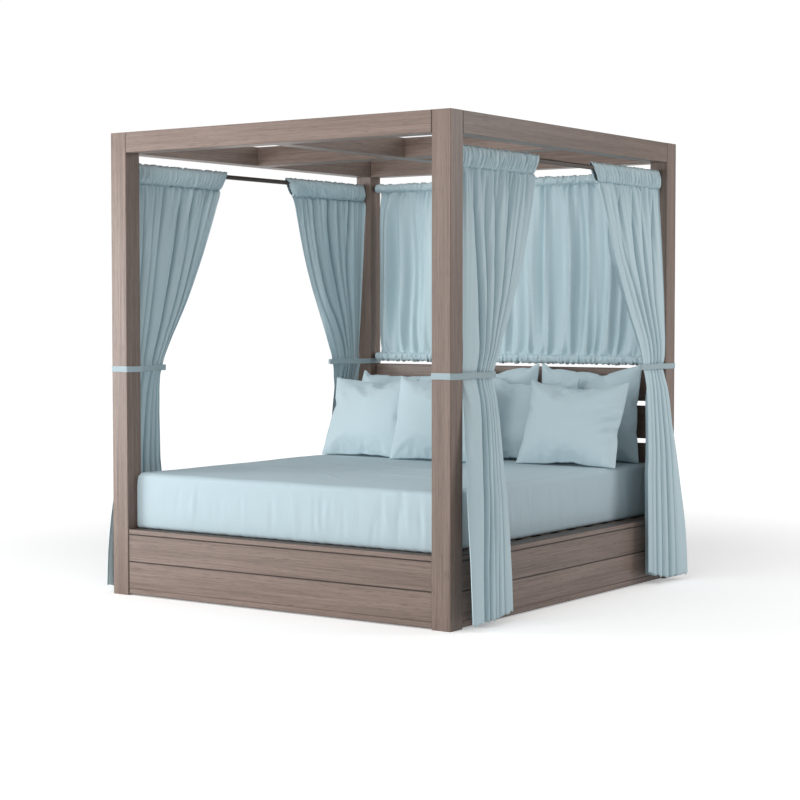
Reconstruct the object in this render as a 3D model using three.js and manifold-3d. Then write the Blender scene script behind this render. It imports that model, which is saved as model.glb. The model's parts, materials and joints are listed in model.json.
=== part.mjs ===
// Outdoor daybed with a four-post canopy frame, side curtains, a back curtain, mattress and pillows.
// Millimetres. X runs across the foot side, Y from the foot to the headboard, Z up from the ground.
// The origin is the middle of the plan at ground level.

import * as THREE from "three";
import { mergeVertices } from "three/addons/utils/BufferGeometryUtils.js";
import Module from "manifold-3d";

const wasm = await Module();
wasm.setup();

// Overall frame
const overall_width = 2114;
const overall_depth = 2260;
const overall_height = 2400;
const post_section = 105;
const fit_gap = 0.3;
const long_edge_chamfer = 3;
const board_edge_chamfer = 1.6;
const tenon_length = 22;
const tenon_shoulder_share = 0.24;
const cut_overrun = 2;

// Roof
const beam_height = 105;
const joist_width = 105;

// Base box
const base_lift = 6;
const base_setback = 6;
const toe_strip = 30;
const base_board_height = 140;
const base_board_thickness = 28;
const board_seam = 1;
const cap_width = 89;
const cap_thickness = 28;
const routed_line_depth = 3;

// Support under the mattress
const ledger_width = 90;
const ledger_height = 38;
const slat_width = 95;
const slat_thickness = 20;
const slat_gap_wanted = 75;
const batten_width = 26;
const batten_thickness = cap_thickness - slat_thickness;
const centre_beam_width = 45;
const centre_beam_height = 90;
const centre_leg_depth = 70;
const centre_leg_place_share = 0.24;

// Headboard
const headboard_board_height = 183;
const headboard_board_gap = 26;
const headboard_board_count = 4;
const headboard_thickness = 28;
const headboard_setback = 58;
const headboard_base_gap = 4;

// Curtain rods
const rod_diameter = 25;
const rod_seat = 20;
const rod_below_beam = 73;
const back_rod_setback = 45;
const back_rod_above_headboard = 47;
const rod_running_gap = 0.6;

// Curtain headers, gathered on the side rods
const header_length = 762;
const header_post_gap = 3;
const header_above_rod = 26;
const header_below_rod = 72;
const header_half_depth = 27;
const header_neck_half_depth = 13;
const header_free_end_slant = 42;
const header_gather_count = 7;
const header_gather_depth = 4;

// Curtain drops, from the header through the tie to the hem
const cloth_thickness = 5;
const drop_fold_count = 7;
const drop_fold_depth = 53;
const drop_flare = 112;
const drop_hem_height = 26;

// Tie bands
const tie_height = 1177;
const tie_width = 30;
const tie_thickness = 2.5;
const tie_reach = 395;
const tie_corner_radius = 45;
const tie_bundle_gap = 11;

// Back curtain between its two rods
const valance_side_gap = 20;
const valance_side_bow = 14;
const valance_fold_count = 10;
const valance_fold_depth = 11;
const valance_pocket_above = 27;
const valance_pocket_below = 15;
const valance_pocket_half_depth = 19;
const valance_pocket_gather = 2.5;

// Mattress
const mattress_thickness = 289;
const mattress_side_gap = 2;
const mattress_foot_setback = 62;
const mattress_head_gap = 4;
const mattress_edge_radius = 34;

// Pillows
const back_pillow_width = 612;
const back_pillow_height = 566;
const front_pillow_width = 604;
const front_pillow_height = 506;
const pillow_thickness = 140;
const pillow_flat_depth = 9;

// Places worked out from the sizes above
const half_width = overall_width / 2;
const half_depth = overall_depth / 2;
const inner_half_width = half_width - post_section;
const inner_half_depth = half_depth - post_section;
const post_centre_x = half_width - post_section / 2;
const beam_underside = overall_height - beam_height;
const rod_height = beam_underside - rod_below_beam;
const lower_board_top = base_lift + toe_strip + base_board_height;
const upper_board_top = lower_board_top + board_seam + base_board_height;
const cap_underside = upper_board_top + board_seam;
const base_top = cap_underside + cap_thickness;
const ledger_top = cap_underside - fit_gap;
const mattress_top = base_top + fit_gap + mattress_thickness;
const base_half_width = half_width - base_setback;
const base_half_depth = half_depth - base_setback;
const headboard_front = inner_half_depth + headboard_setback;
const headboard_bottom = base_top + headboard_base_gap;
const headboard_pitch = headboard_board_height + headboard_board_gap;
const headboard_top = headboard_bottom + headboard_board_count * headboard_pitch - headboard_board_gap;
const back_lower_rod_height = headboard_top + back_rod_above_headboard;
const back_rod_y = inner_half_depth + back_rod_setback;
const rod_radius = rod_diameter / 2;
const header_bottom = rod_height - header_below_rod;
const bundle_reach = tie_reach - post_section - tie_bundle_gap;
const bundle_half_depth = post_section / 2;
const mattress_half_width = inner_half_width - mattress_side_gap;
const mattress_foot_y = -half_depth + mattress_foot_setback;
const mattress_head_y = headboard_front - mattress_head_gap;

const rod_sides = 20;

function plain_material(colour, roughness, metalness) {
  return new THREE.MeshStandardMaterial({ color: colour, roughness, metalness });
}

const wood = () => plain_material(0x8a7468, 0.7, 0);
const hidden_wood = () => plain_material(0xa8977f, 0.8, 0);
const curtain_cloth = () => plain_material(0xa9c5cf, 0.9, 0);
const sheet_cloth = () => plain_material(0xb9d2dc, 0.9, 0);
const pillow_cloth = () => plain_material(0xb4ced9, 0.9, 0);
const rod_metal = () => plain_material(0x4a3f39, 0.5, 0.6);

const daybed = new THREE.Group();
daybed.name = "canopy_daybed";

// A closed geometry as a solid that can be joined and cut
function solid_of(geometry) {
  const bare = geometry.clone();
  bare.deleteAttribute("normal");
  bare.deleteAttribute("uv");
  const merged = mergeVertices(bare);
  return new wasm.Manifold(
    new wasm.Mesh({
      numProp: 3,
      vertProperties: merged.attributes.position.array,
      triVerts: new Uint32Array(merged.index.array),
    }),
  );
}

// The solid's surface as a geometry again
function geometry_of(solid) {
  const mesh = solid.getMesh();
  const geometry = new THREE.BufferGeometry();
  geometry.setAttribute("position", new THREE.BufferAttribute(mesh.vertProperties, 3));
  geometry.setIndex(new THREE.BufferAttribute(mesh.triVerts, 1));
  geometry.computeVertexNormals();
  return geometry;
}

function add_piece(name, geometry, material) {
  const mesh = new THREE.Mesh(geometry, material);
  mesh.name = name;
  daybed.add(mesh);
  return mesh;
}

// A straight box between two corners
function box_between(low, high) {
  const size = high.map((value, k) => value - low[k]);
  const middle = high.map((value, k) => (value + low[k]) / 2);
  return new THREE.BoxGeometry(...size).translate(...middle);
}

// A round bar between two ends along X or Y
function bar_between(axis, start, end, radius) {
  const length = end[axis] - start[axis];
  const bar = new THREE.CylinderGeometry(radius, radius, length, rod_sides);
  if (axis === 0) bar.rotateZ(Math.PI / 2);
  return bar.translate(...start.map((value, k) => (value + end[k]) / 2));
}

// A timber between two corners, with its four long edges chamfered
function timber(axis, low, high, chamfer) {
  const [a, b] = [(axis + 1) % 3, (axis + 2) % 3];
  const half_a = (high[a] - low[a]) / 2;
  const half_b = (high[b] - low[b]) / 2;
  const outline = new THREE.Shape([
    new THREE.Vector2(-half_a + chamfer, -half_b),
    new THREE.Vector2(half_a - chamfer, -half_b),
    new THREE.Vector2(half_a, -half_b + chamfer),
    new THREE.Vector2(half_a, half_b - chamfer),
    new THREE.Vector2(half_a - chamfer, half_b),
    new THREE.Vector2(-half_a + chamfer, half_b),
    new THREE.Vector2(-half_a, half_b - chamfer),
    new THREE.Vector2(-half_a, -half_b + chamfer),
  ]);
  const length = high[axis] - low[axis];
  const body = new THREE.ExtrudeGeometry(outline, { depth: length, bevelEnabled: false });
  body.translate(0, 0, -length / 2);
  const unit = [0, 1, 2].map((k) => new THREE.Vector3().setComponent(k, 1));
  body.applyMatrix4(new THREE.Matrix4().makeBasis(unit[a], unit[b], unit[axis]));
  return body.translate(...high.map((value, k) => (value + low[k]) / 2));
}

// The member with a stub tenon on each end; the tenons' boxes are kept for the mortises in its hosts
const tenons = [];
function with_tenons(solid, axis, low, high) {
  for (const end of [low[axis], high[axis]]) {
    const tenon_low = [...low];
    const tenon_high = [...high];
    for (const k of [(axis + 1) % 3, (axis + 2) % 3]) {
      const shoulder = (high[k] - low[k]) * tenon_shoulder_share;
      tenon_low[k] += shoulder;
      tenon_high[k] -= shoulder;
    }
    tenon_low[axis] = end - tenon_length;
    tenon_high[axis] = end + tenon_length;
    tenons.push([tenon_low, tenon_high]);
    solid = solid.add(solid_of(box_between(tenon_low, tenon_high)));
  }
  return solid;
}

function tenoned_timber(axis, low, high, chamfer) {
  return with_tenons(solid_of(timber(axis, low, high, chamfer)), axis, low, high);
}

// The host with a mortise for every tenon that reaches into its box
function with_mortises(solid, low, high) {
  for (const [tenon_low, tenon_high] of tenons) {
    const meets = low.every((value, k) => tenon_high[k] > value && tenon_low[k] < high[k]);
    if (!meets) continue;
    const mortise = box_between(
      tenon_low.map((value) => value - fit_gap),
      tenon_high.map((value) => value + fit_gap),
    );
    solid = solid.subtract(solid_of(mortise));
  }
  return solid;
}

const sides = [
  ["left", -1],
  ["right", 1],
];
const ends = [
  ["front", -1],
  ["back", 1],
];

// Turns a place on the positive side into a low and a high value on the side asked for
function span(sign, near, far) {
  return sign > 0 ? [near, far] : [-far, -near];
}

// Headboard: level boards between the back posts
for (let k = 0; k < headboard_board_count; k += 1) {
  const bottom = headboard_bottom + k * headboard_pitch;
  const low = [-inner_half_width + fit_gap, headboard_front, bottom];
  const high = [-low[0], headboard_front + headboard_thickness, bottom + headboard_board_height];
  const board = tenoned_timber(0, low, high, long_edge_chamfer);
  add_piece(`headboard_board_${k + 1}`, geometry_of(board), wood());
}

// Base box: a cap, an upper board and a lower board with a routed line, on each of four sides
const base_rows = [
  ["cap", cap_underside, base_top, cap_width],
  ["upper_board", lower_board_top + board_seam, upper_board_top, base_board_thickness],
  ["lower_board", base_lift, lower_board_top, base_board_thickness],
];

function routed_line(axis, outer_face, half_length) {
  const groove = new THREE.BoxGeometry(
    axis === 0 ? half_length * 2 : routed_line_depth * Math.SQRT2,
    axis === 1 ? half_length * 2 : routed_line_depth * Math.SQRT2,
    routed_line_depth * Math.SQRT2,
  );
  if (axis === 0) groove.rotateX(Math.PI / 4);
  if (axis === 1) groove.rotateY(Math.PI / 4);
  const place = [0, 0, base_lift + toe_strip];
  place[1 - axis] = outer_face;
  return groove.translate(...place);
}

for (const [row, bottom, top, thickness] of base_rows) {
  for (const [axis, half_length, outer, members] of [
    [0, inner_half_width, base_half_depth, ends],
    [1, inner_half_depth, base_half_width, sides],
  ]) {
    for (const [place, sign] of members) {
      const [across_low, across_high] = span(sign, outer - thickness, outer);
      const low = [-half_length + fit_gap, -half_length + fit_gap, bottom];
      const high = [half_length - fit_gap, half_length - fit_gap, top];
      low[1 - axis] = across_low;
      high[1 - axis] = across_high;
      let solid = tenoned_timber(axis, low, high, board_edge_chamfer);
      if (row === "lower_board") {
        const groove = routed_line(axis, sign * outer, half_length + tenon_length + cut_overrun);
        solid = solid.subtract(solid_of(groove));
      }
      add_piece(`base_${place}_${row}`, geometry_of(solid), wood());
    }
  }
}

// Ledgers inside the base carry the caps and the slats
const ledger_outer_x = base_half_width - base_board_thickness - fit_gap;
const ledger_outer_y = base_half_depth - base_board_thickness - fit_gap;
for (const [place, sign] of sides) {
  const [x_low, x_high] = span(sign, ledger_outer_x - ledger_width, ledger_outer_x);
  const ledger = timber(
    1,
    [x_low, -inner_half_depth + fit_gap, ledger_top - ledger_height],
    [x_high, inner_half_depth - fit_gap, ledger_top],
    board_edge_chamfer,
  );
  add_piece(`ledger_${place}`, ledger, hidden_wood());
}
for (const [place, sign] of ends) {
  const reach = ledger_outer_x - ledger_width - fit_gap;
  const [y_low, y_high] = span(sign, ledger_outer_y - ledger_width, ledger_outer_y);
  const ledger = timber(
    0,
    [-reach, y_low, ledger_top - ledger_height],
    [reach, y_high, ledger_top],
    board_edge_chamfer,
  );
  add_piece(`ledger_${place}`, ledger, hidden_wood());
}

// Centre beam and its two legs
const centre_beam_reach = ledger_outer_y - ledger_width - fit_gap;
add_piece(
  "centre_beam",
  timber(
    1,
    [-centre_beam_width / 2, -centre_beam_reach, ledger_top - centre_beam_height],
    [centre_beam_width / 2, centre_beam_reach, ledger_top],
    board_edge_chamfer,
  ),
  hidden_wood(),
);
for (const [place, sign] of ends) {
  const y = sign * overall_depth * centre_leg_place_share;
  const leg = timber(
    2,
    [-centre_beam_width / 2, y - centre_leg_depth / 2, 0],
    [centre_beam_width / 2, y + centre_leg_depth / 2, ledger_top - centre_beam_height - fit_gap],
    board_edge_chamfer,
  );
  add_piece(`centre_leg_${place}`, leg, hidden_wood());
}

// Slat deck: slats on three battens, inside the caps
const deck_half_width = base_half_width - cap_width - fit_gap;
const deck_half_depth = inner_half_depth - fit_gap;
const slat_count = Math.round((2 * deck_half_depth + slat_gap_wanted) / (slat_width + slat_gap_wanted));
const slat_pitch = (2 * deck_half_depth - slat_width) / (slat_count - 1);
const deck_bottom = cap_underside;
const batten_places = [-deck_half_width + batten_width / 2, 0, deck_half_width - batten_width / 2];
let deck = null;
for (const x of batten_places) {
  const batten = solid_of(
    box_between(
      [x - batten_width / 2, -deck_half_depth, deck_bottom],
      [x + batten_width / 2, deck_half_depth, deck_bottom + batten_thickness + slat_thickness / 2],
    ),
  );
  deck = deck ? deck.add(batten) : batten;
}
for (let k = 0; k < slat_count; k += 1) {
  const start = -deck_half_depth + k * slat_pitch;
  const slat = box_between(
    [-deck_half_width, start, deck_bottom + batten_thickness],
    [deck_half_width, start + slat_width, deck_bottom + batten_thickness + slat_thickness],
  );
  deck = deck.add(solid_of(slat));
}
add_piece("slat_deck", geometry_of(deck), hidden_wood());

// Roof: the cross joists are tenoned into the long joist, and all joists into the beams
for (const [place, sign] of sides) {
  const [low_x, high_x] = span(sign, joist_width / 2 + fit_gap, inner_half_width - fit_gap);
  const joist = tenoned_timber(
    0,
    [low_x, -joist_width / 2, beam_underside],
    [high_x, joist_width / 2, overall_height],
    long_edge_chamfer,
  );
  add_piece(`cross_joist_${place}`, geometry_of(joist), wood());
}

// A roof member cut for the tenons that reach it, with tenons of its own
function roof_member(axis, low, high) {
  const uncut = solid_of(timber(axis, low, high, long_edge_chamfer));
  return geometry_of(with_tenons(with_mortises(uncut, low, high), axis, low, high));
}
const joist_low = [-joist_width / 2, -inner_half_depth + fit_gap, beam_underside];
const joist_high = [joist_width / 2, inner_half_depth - fit_gap, overall_height];
add_piece("long_joist", roof_member(1, joist_low, joist_high), wood());
for (const [axis, half_length, outer, members] of [
  [0, inner_half_width, half_depth, ends],
  [1, inner_half_depth, half_width, sides],
]) {
  for (const [place, sign] of members) {
    const [across_low, across_high] = span(sign, outer - post_section, outer);
    const low = [-half_length + fit_gap, -half_length + fit_gap, beam_underside];
    const high = [half_length - fit_gap, half_length - fit_gap, overall_height];
    low[1 - axis] = across_low;
    high[1 - axis] = across_high;
    add_piece(`roof_beam_${place}`, roof_member(axis, low, high), wood());
  }
}

// Curtain rods, seated in blind holes in the posts
const rod_holes = [];
function add_rod(name, axis, start, end) {
  const seated_start = [...start];
  const seated_end = [...end];
  seated_start[axis] -= rod_seat;
  seated_end[axis] += rod_seat;
  add_piece(name, bar_between(axis, seated_start, seated_end, rod_radius), rod_metal());
  const hole_start = [...seated_start];
  const hole_end = [...seated_end];
  hole_start[axis] -= fit_gap;
  hole_end[axis] += fit_gap;
  rod_holes.push(bar_between(axis, hole_start, hole_end, rod_radius + fit_gap));
}
for (const [place, sign] of sides) {
  const x = sign * post_centre_x;
  add_rod(`rod_${place}`, 1, [x, -inner_half_depth, rod_height], [x, inner_half_depth, rod_height]);
}
for (const [place, height] of [
  ["upper", rod_height],
  ["lower", back_lower_rod_height],
]) {
  const start = [-inner_half_width, back_rod_y, height];
  add_rod(`rod_back_${place}`, 0, start, [inner_half_width, back_rod_y, height]);
}

// Posts, with the mortises and the rod holes
for (const [end_name, end_sign] of ends) {
  for (const [side_name, side_sign] of sides) {
    const [x_low, x_high] = span(side_sign, inner_half_width, half_width);
    const [y_low, y_high] = span(end_sign, inner_half_depth, half_depth);
    const low = [x_low, y_low, 0];
    const high = [x_high, y_high, overall_height];
    let post = with_mortises(solid_of(timber(2, low, high, long_edge_chamfer)), low, high);
    for (const hole of rod_holes) post = post.subtract(solid_of(hole));
    add_piece(`post_${end_name}_${side_name}`, geometry_of(post), wood());
  }
}

// A closed solid from a grid of points and a second grid beside it
function slab_from_grids(front, back) {
  const rows = front.length;
  const columns = front[0].length;
  const positions = [...front.flat(), ...back.flat()].flat();
  const at = (layer, i, j) => layer * rows * columns + i * columns + j;
  const faces = [];
  const quad = (a, b, c, d) => faces.push(a, b, c, a, c, d);
  for (let i = 0; i + 1 < rows; i += 1) {
    for (let j = 0; j + 1 < columns; j += 1) {
      quad(at(0, i, j), at(0, i, j + 1), at(0, i + 1, j + 1), at(0, i + 1, j));
      quad(at(1, i, j), at(1, i + 1, j), at(1, i + 1, j + 1), at(1, i, j + 1));
    }
  }
  const rim = [];
  for (let j = 0; j < columns; j += 1) rim.push([0, j]);
  for (let i = 1; i < rows; i += 1) rim.push([i, columns - 1]);
  for (let j = columns - 2; j >= 0; j -= 1) rim.push([rows - 1, j]);
  for (let i = rows - 2; i > 0; i -= 1) rim.push([i, 0]);
  rim.forEach(([i, j], k) => {
    const [next_i, next_j] = rim[(k + 1) % rim.length];
    quad(at(0, i, j), at(1, i, j), at(1, next_i, next_j), at(0, next_i, next_j));
  });
  return facing_out(positions, faces);
}

// The same mesh with its faces pointing out
function facing_out(positions, faces) {
  const geometry = new THREE.BufferGeometry();
  geometry.setAttribute("position", new THREE.Float32BufferAttribute(positions, 3));
  let volume = 0;
  const corner = (k) => new THREE.Vector3().fromArray(positions, faces[k] * 3);
  for (let k = 0; k < faces.length; k += 3) {
    volume += corner(k).dot(corner(k + 1).cross(corner(k + 2)));
  }
  if (volume < 0) {
    for (let k = 0; k < faces.length; k += 3) {
      [faces[k + 1], faces[k + 2]] = [faces[k + 2], faces[k + 1]];
    }
  }
  geometry.setIndex(faces);
  geometry.computeVertexNormals();
  return geometry;
}

const mix = (from, to, share) => from + (to - from) * share;

// Curtain header: a gathered rod pocket with a frill above, lofted along the rod and bored for it.
// Each row is a point of its section, as shares of the half depth and of the height above or below the rod.
const header_section_shares = [
  ["frill", 0.3, 1],
  ["pocket", 0.62, 0.72],
  ["pocket", 1, 0.1],
  ["pocket", 0.96, -0.2],
  ["pocket", 0.6, -0.46],
  ["neck", 0.55, -1],
];
const header_stations = header_gather_count * 2 + 1;

function header_geometry(side_sign, end_sign) {
  const ring_of = (share, gather) => {
    const half = header_section_shares.map(([zone, depth_share, height_share]) => {
      const reach = height_share > 0 ? header_above_rod : header_below_rod;
      const wide = zone === "neck" ? header_neck_half_depth : header_half_depth;
      const slant = (1 - height_share) / 2;
      const length = header_length - header_free_end_slant * slant;
      const y = inner_half_depth - header_post_gap - share * length;
      const x = depth_share * (wide + gather);
      const z = rod_height + height_share * reach - (zone === "frill" ? gather : 0);
      return [x, y, z];
    });
    return [...half, ...half.map(([x, y, z]) => [-x, y, z]).reverse()];
  };
  const rings = [];
  for (let k = 0; k < header_stations; k += 1) {
    const gather = k % 2 ? header_gather_depth / 2 : -header_gather_depth / 2;
    rings.push(ring_of(k / (header_stations - 1), gather));
  }
  return loft(rings, side_sign * post_centre_x, end_sign);
}

// A closed loft through rings of points; end_sign mirrors it to the foot or the head end
function loft(rings, centre_x, end_sign) {
  const count = rings[0].length;
  const positions = rings.flat().flatMap(([x, y, z]) => [centre_x + x, end_sign * y, z]);
  const faces = [];
  for (let k = 0; k + 1 < rings.length; k += 1) {
    for (let j = 0; j < count; j += 1) {
      const [a, b] = [k * count + j, k * count + ((j + 1) % count)];
      faces.push(a, b, b + count, a, b + count, a + count);
    }
  }
  const half = count / 2;
  for (const [start, turn] of [
    [0, -1],
    [(rings.length - 1) * count, 1],
  ]) {
    for (let j = 0; j + 1 < half; j += 1) {
      const [a, b, c, d] = [start + j, start + j + 1, start + count - 2 - j, start + count - 1 - j];
      if (turn > 0) faces.push(a, b, c, a, c, d);
      else faces.push(a, c, b, a, d, c);
    }
  }
  return facing_out(positions, faces);
}

// Curtain drop, a folded sheet drawn in at the tie. Each row is a level: its share of the way from the tie
// up to the header or down to the hem, the post side's share of the header's length, the free side's share
// of the way from the bundle's reach to the header's, and the shares of the flare and the fold depth.
const drop_level_shares = [
  [1, 0.006, 0.905, 0, 0.26],
  [0.89, 0.006, 0.78, 0, 0.34],
  [0.716, 0.008, 0.653, 0, 0.42],
  [0.476, 0.012, 0.495, 0, 0.5],
  [0.258, 0.018, 0.322, 0.01, 0.58],
  [0.096, 0.034, 0.132, 0.03, 0.68],
  [0.016, 0.054, 0, 0.04, 0.72],
  [-0.016, 0.054, 0, 0.04, 0.72],
  [-0.151, 0.036, 0.041, 0.16, 0.7],
  [-0.465, 0.01, 0.1, 0.55, 0.66],
  [-0.723, 0.008, 0.164, 0.87, 0.7],
  [-0.871, -0.03, 0.195, 0.93, 0.84],
  [-1, -0.06, 0.235, 1, 1],
];
const drop_end_taper_share = 0.7;

function drop_geometry(side_sign, end_sign) {
  const columns = drop_fold_count * 2 + 1;
  const drop_top = header_bottom - fit_gap;
  const grid = (offset) =>
    drop_level_shares.map(([level_share, post_share, free_share, flare_share, depth_share]) => {
      const end_height = level_share > 0 ? drop_top : drop_hem_height;
      const z = mix(tie_height, end_height, Math.abs(level_share));
      const free_distance = mix(bundle_reach, header_length, free_share);
      const half_fold = mix(bundle_half_depth, drop_fold_depth, Math.abs(level_share)) * depth_share;
      const row = [];
      for (let j = 0; j < columns; j += 1) {
        const along = j / (columns - 1);
        const distance = mix(header_length * post_share, free_distance, along);
        const taper = 1 - drop_end_taper_share * Math.pow(Math.abs(2 * along - 1), columns / 2);
        const fold = half_fold * taper * (j % 2 ? 1 : -1);
        const x = post_centre_x + drop_flare * flare_share + fold + offset;
        const y = inner_half_depth - distance;
        row.push([side_sign * x, end_sign * y, z]);
      }
      return row;
    });
  return slab_from_grids(grid(cloth_thickness / 2), grid(-cloth_thickness / 2));
}

// Tie band: a flat loop round the post and the gathered curtain
function tie_band_geometry(side_sign, end_sign) {
  const outline = (grow) => {
    const half = post_section / 2 + fit_gap + grow;
    const far = half_depth - tie_reach - grow;
    const near = half_depth + fit_gap + grow;
    const radius = tie_corner_radius + grow;
    const shape = new THREE.Shape();
    shape.moveTo(-half, near);
    shape.lineTo(-half, far + radius);
    shape.absarc(-half + radius, far + radius, radius, Math.PI, Math.PI * 1.5, false);
    shape.absarc(half - radius, far + radius, radius, Math.PI * 1.5, Math.PI * 2, false);
    shape.lineTo(half, near);
    shape.closePath();
    return shape;
  };
  const shape = outline(tie_thickness);
  shape.holes.push(outline(0));
  const band = new THREE.ExtrudeGeometry(shape, { depth: tie_width, bevelEnabled: false, curveSegments: 5 });
  band.translate(0, 0, tie_height - tie_width / 2);
  if (end_sign < 0) band.rotateZ(Math.PI);
  return band.translate(side_sign * post_centre_x, 0, 0);
}

for (const [end_name, end_sign] of ends) {
  for (const [side_name, side_sign] of sides) {
    const place = `${end_name}_${side_name}`;
    const bore_reach = inner_half_depth + cut_overrun;
    const bore = bar_between(
      1,
      [side_sign * post_centre_x, -bore_reach, rod_height],
      [side_sign * post_centre_x, bore_reach, rod_height],
      rod_radius + rod_running_gap,
    );
    const header = solid_of(header_geometry(side_sign, end_sign)).subtract(solid_of(bore));
    add_piece(`curtain_header_${place}`, geometry_of(header), curtain_cloth());
    add_piece(`curtain_drop_${place}`, drop_geometry(side_sign, end_sign), curtain_cloth());
    add_piece(`tie_band_${place}`, tie_band_geometry(side_sign, end_sign), curtain_cloth());
  }
}

// Back curtain: a folded panel with a gathered pocket round each back rod
const valance_level_shares = [0, 0.12, 0.35, 0.65, 0.88, 1];

function valance_panel() {
  const columns = valance_fold_count * 2 + 1;
  const top = rod_height - rod_radius;
  const bottom = back_lower_rod_height + rod_radius;
  const half = inner_half_width - valance_side_gap;
  const grid = (offset) =>
    valance_level_shares.map((share) => {
      const bow = valance_side_bow * Math.sin(Math.PI * share);
      const deep = valance_fold_depth * (1 + Math.sin(Math.PI * share)) / 2;
      const row = [];
      for (let j = 0; j < columns; j += 1) {
        const along = j / (columns - 1);
        const x = mix(-half + bow, half - bow, along);
        row.push([x, back_rod_y + deep * (j % 2 ? -1 : 1) + offset, mix(top, bottom, share)]);
      }
      return row;
    });
  return solid_of(slab_from_grids(grid(cloth_thickness / 2), grid(-cloth_thickness / 2)));
}

// Each row is a point of the pocket's section, as shares of the half depth and of the height beside the rod
const pocket_section_shares = [
  ["frill", 0.25, 1],
  ["pocket", 0.8, 0.62],
  ["pocket", 1, 0.1],
  ["pocket", 0.85, -0.7],
  ["pocket", 0.3, -1],
];

function valance_pocket(height, frill_sign) {
  const stations = valance_fold_count * 2 + 1;
  const half = inner_half_width - valance_side_gap;
  const rings = [];
  for (let k = 0; k < stations; k += 1) {
    const gather = k % 2 ? valance_pocket_gather / 2 : -valance_pocket_gather / 2;
    const x = mix(-half, half, k / (stations - 1));
    const side = pocket_section_shares.map(([zone, depth_share, height_share]) => {
      const reach = height_share > 0 ? valance_pocket_above : valance_pocket_below;
      const z = reach * height_share + (zone === "frill" ? gather : 0);
      return [depth_share * (valance_pocket_half_depth + gather), x, frill_sign * z];
    });
    rings.push([...side, ...side.map(([depth, along, z]) => [-depth, along, z]).reverse()]);
  }
  const pocket = loft(rings, 0, 1);
  pocket.rotateZ(-Math.PI / 2);
  return solid_of(pocket.translate(0, back_rod_y, height));
}

let valance = valance_panel();
for (const [height, frill_sign] of [
  [rod_height, 1],
  [back_lower_rod_height, -1],
]) {
  valance = valance.add(valance_pocket(height, frill_sign));
}
for (const height of [rod_height, back_lower_rod_height]) {
  const bore = bar_between(
    0,
    [-inner_half_width, back_rod_y, height],
    [inner_half_width, back_rod_y, height],
    rod_radius + fit_gap,
  );
  valance = valance.subtract(solid_of(bore));
}
add_piece("back_curtain", geometry_of(valance), curtain_cloth());

// Mattress in its fitted sheet, with rounded corners and edges
function mattress_geometry() {
  const corner_x = mattress_half_width - mattress_edge_radius;
  const foot_y = mattress_foot_y + mattress_edge_radius;
  const head_y = mattress_head_y - mattress_edge_radius;
  const bevel = mattress_edge_radius / 2;
  const outline = new THREE.Shape();
  outline.absarc(corner_x, foot_y, bevel, -Math.PI / 2, 0, false);
  outline.absarc(corner_x, head_y, bevel, 0, Math.PI / 2, false);
  outline.absarc(-corner_x, head_y, bevel, Math.PI / 2, Math.PI, false);
  outline.absarc(-corner_x, foot_y, bevel, Math.PI, Math.PI * 1.5, false);
  const body = new THREE.ExtrudeGeometry(outline, {
    depth: mattress_thickness - 2 * bevel,
    curveSegments: 3,
    bevelEnabled: true,
    bevelThickness: bevel,
    bevelSize: bevel,
    bevelSegments: 3,
  });
  return body.translate(0, 0, base_top + fit_gap + bevel);
}
add_piece("mattress", mattress_geometry(), sheet_cloth());

// Pillows: the middle of each as a share of its width across, its distance from the mattress's head end
// as a share of the pillows' thickness, and its lean in degrees
const pillows = [
  { name: "pillow_back_left", kind: "back", across_share: -1.046, head_share: 2.79, lean: 27 },
  { name: "pillow_back_middle", kind: "back", across_share: -0.051, head_share: 1.127, lean: 7 },
  { name: "pillow_back_right", kind: "back", across_share: 0.987, head_share: 0.859, lean: 4 },
  { name: "pillow_front_left", kind: "front", across_share: -1.057, head_share: 4.14, lean: 19.5 },
  { name: "pillow_front_centre_left", kind: "front", across_share: -0.1636, head_share: 4.57, lean: 14 },
  { name: "pillow_front_centre_right", kind: "front", across_share: 0.503, head_share: 2.33, lean: 15 },
  { name: "pillow_front_right", kind: "front", across_share: 1.057, head_share: 3.404, lean: 20 },
];
const pillow_cells = 8;
const pillow_side_draw_share = 0.075;
const pillow_crown_power_share = 0.55;

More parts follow.
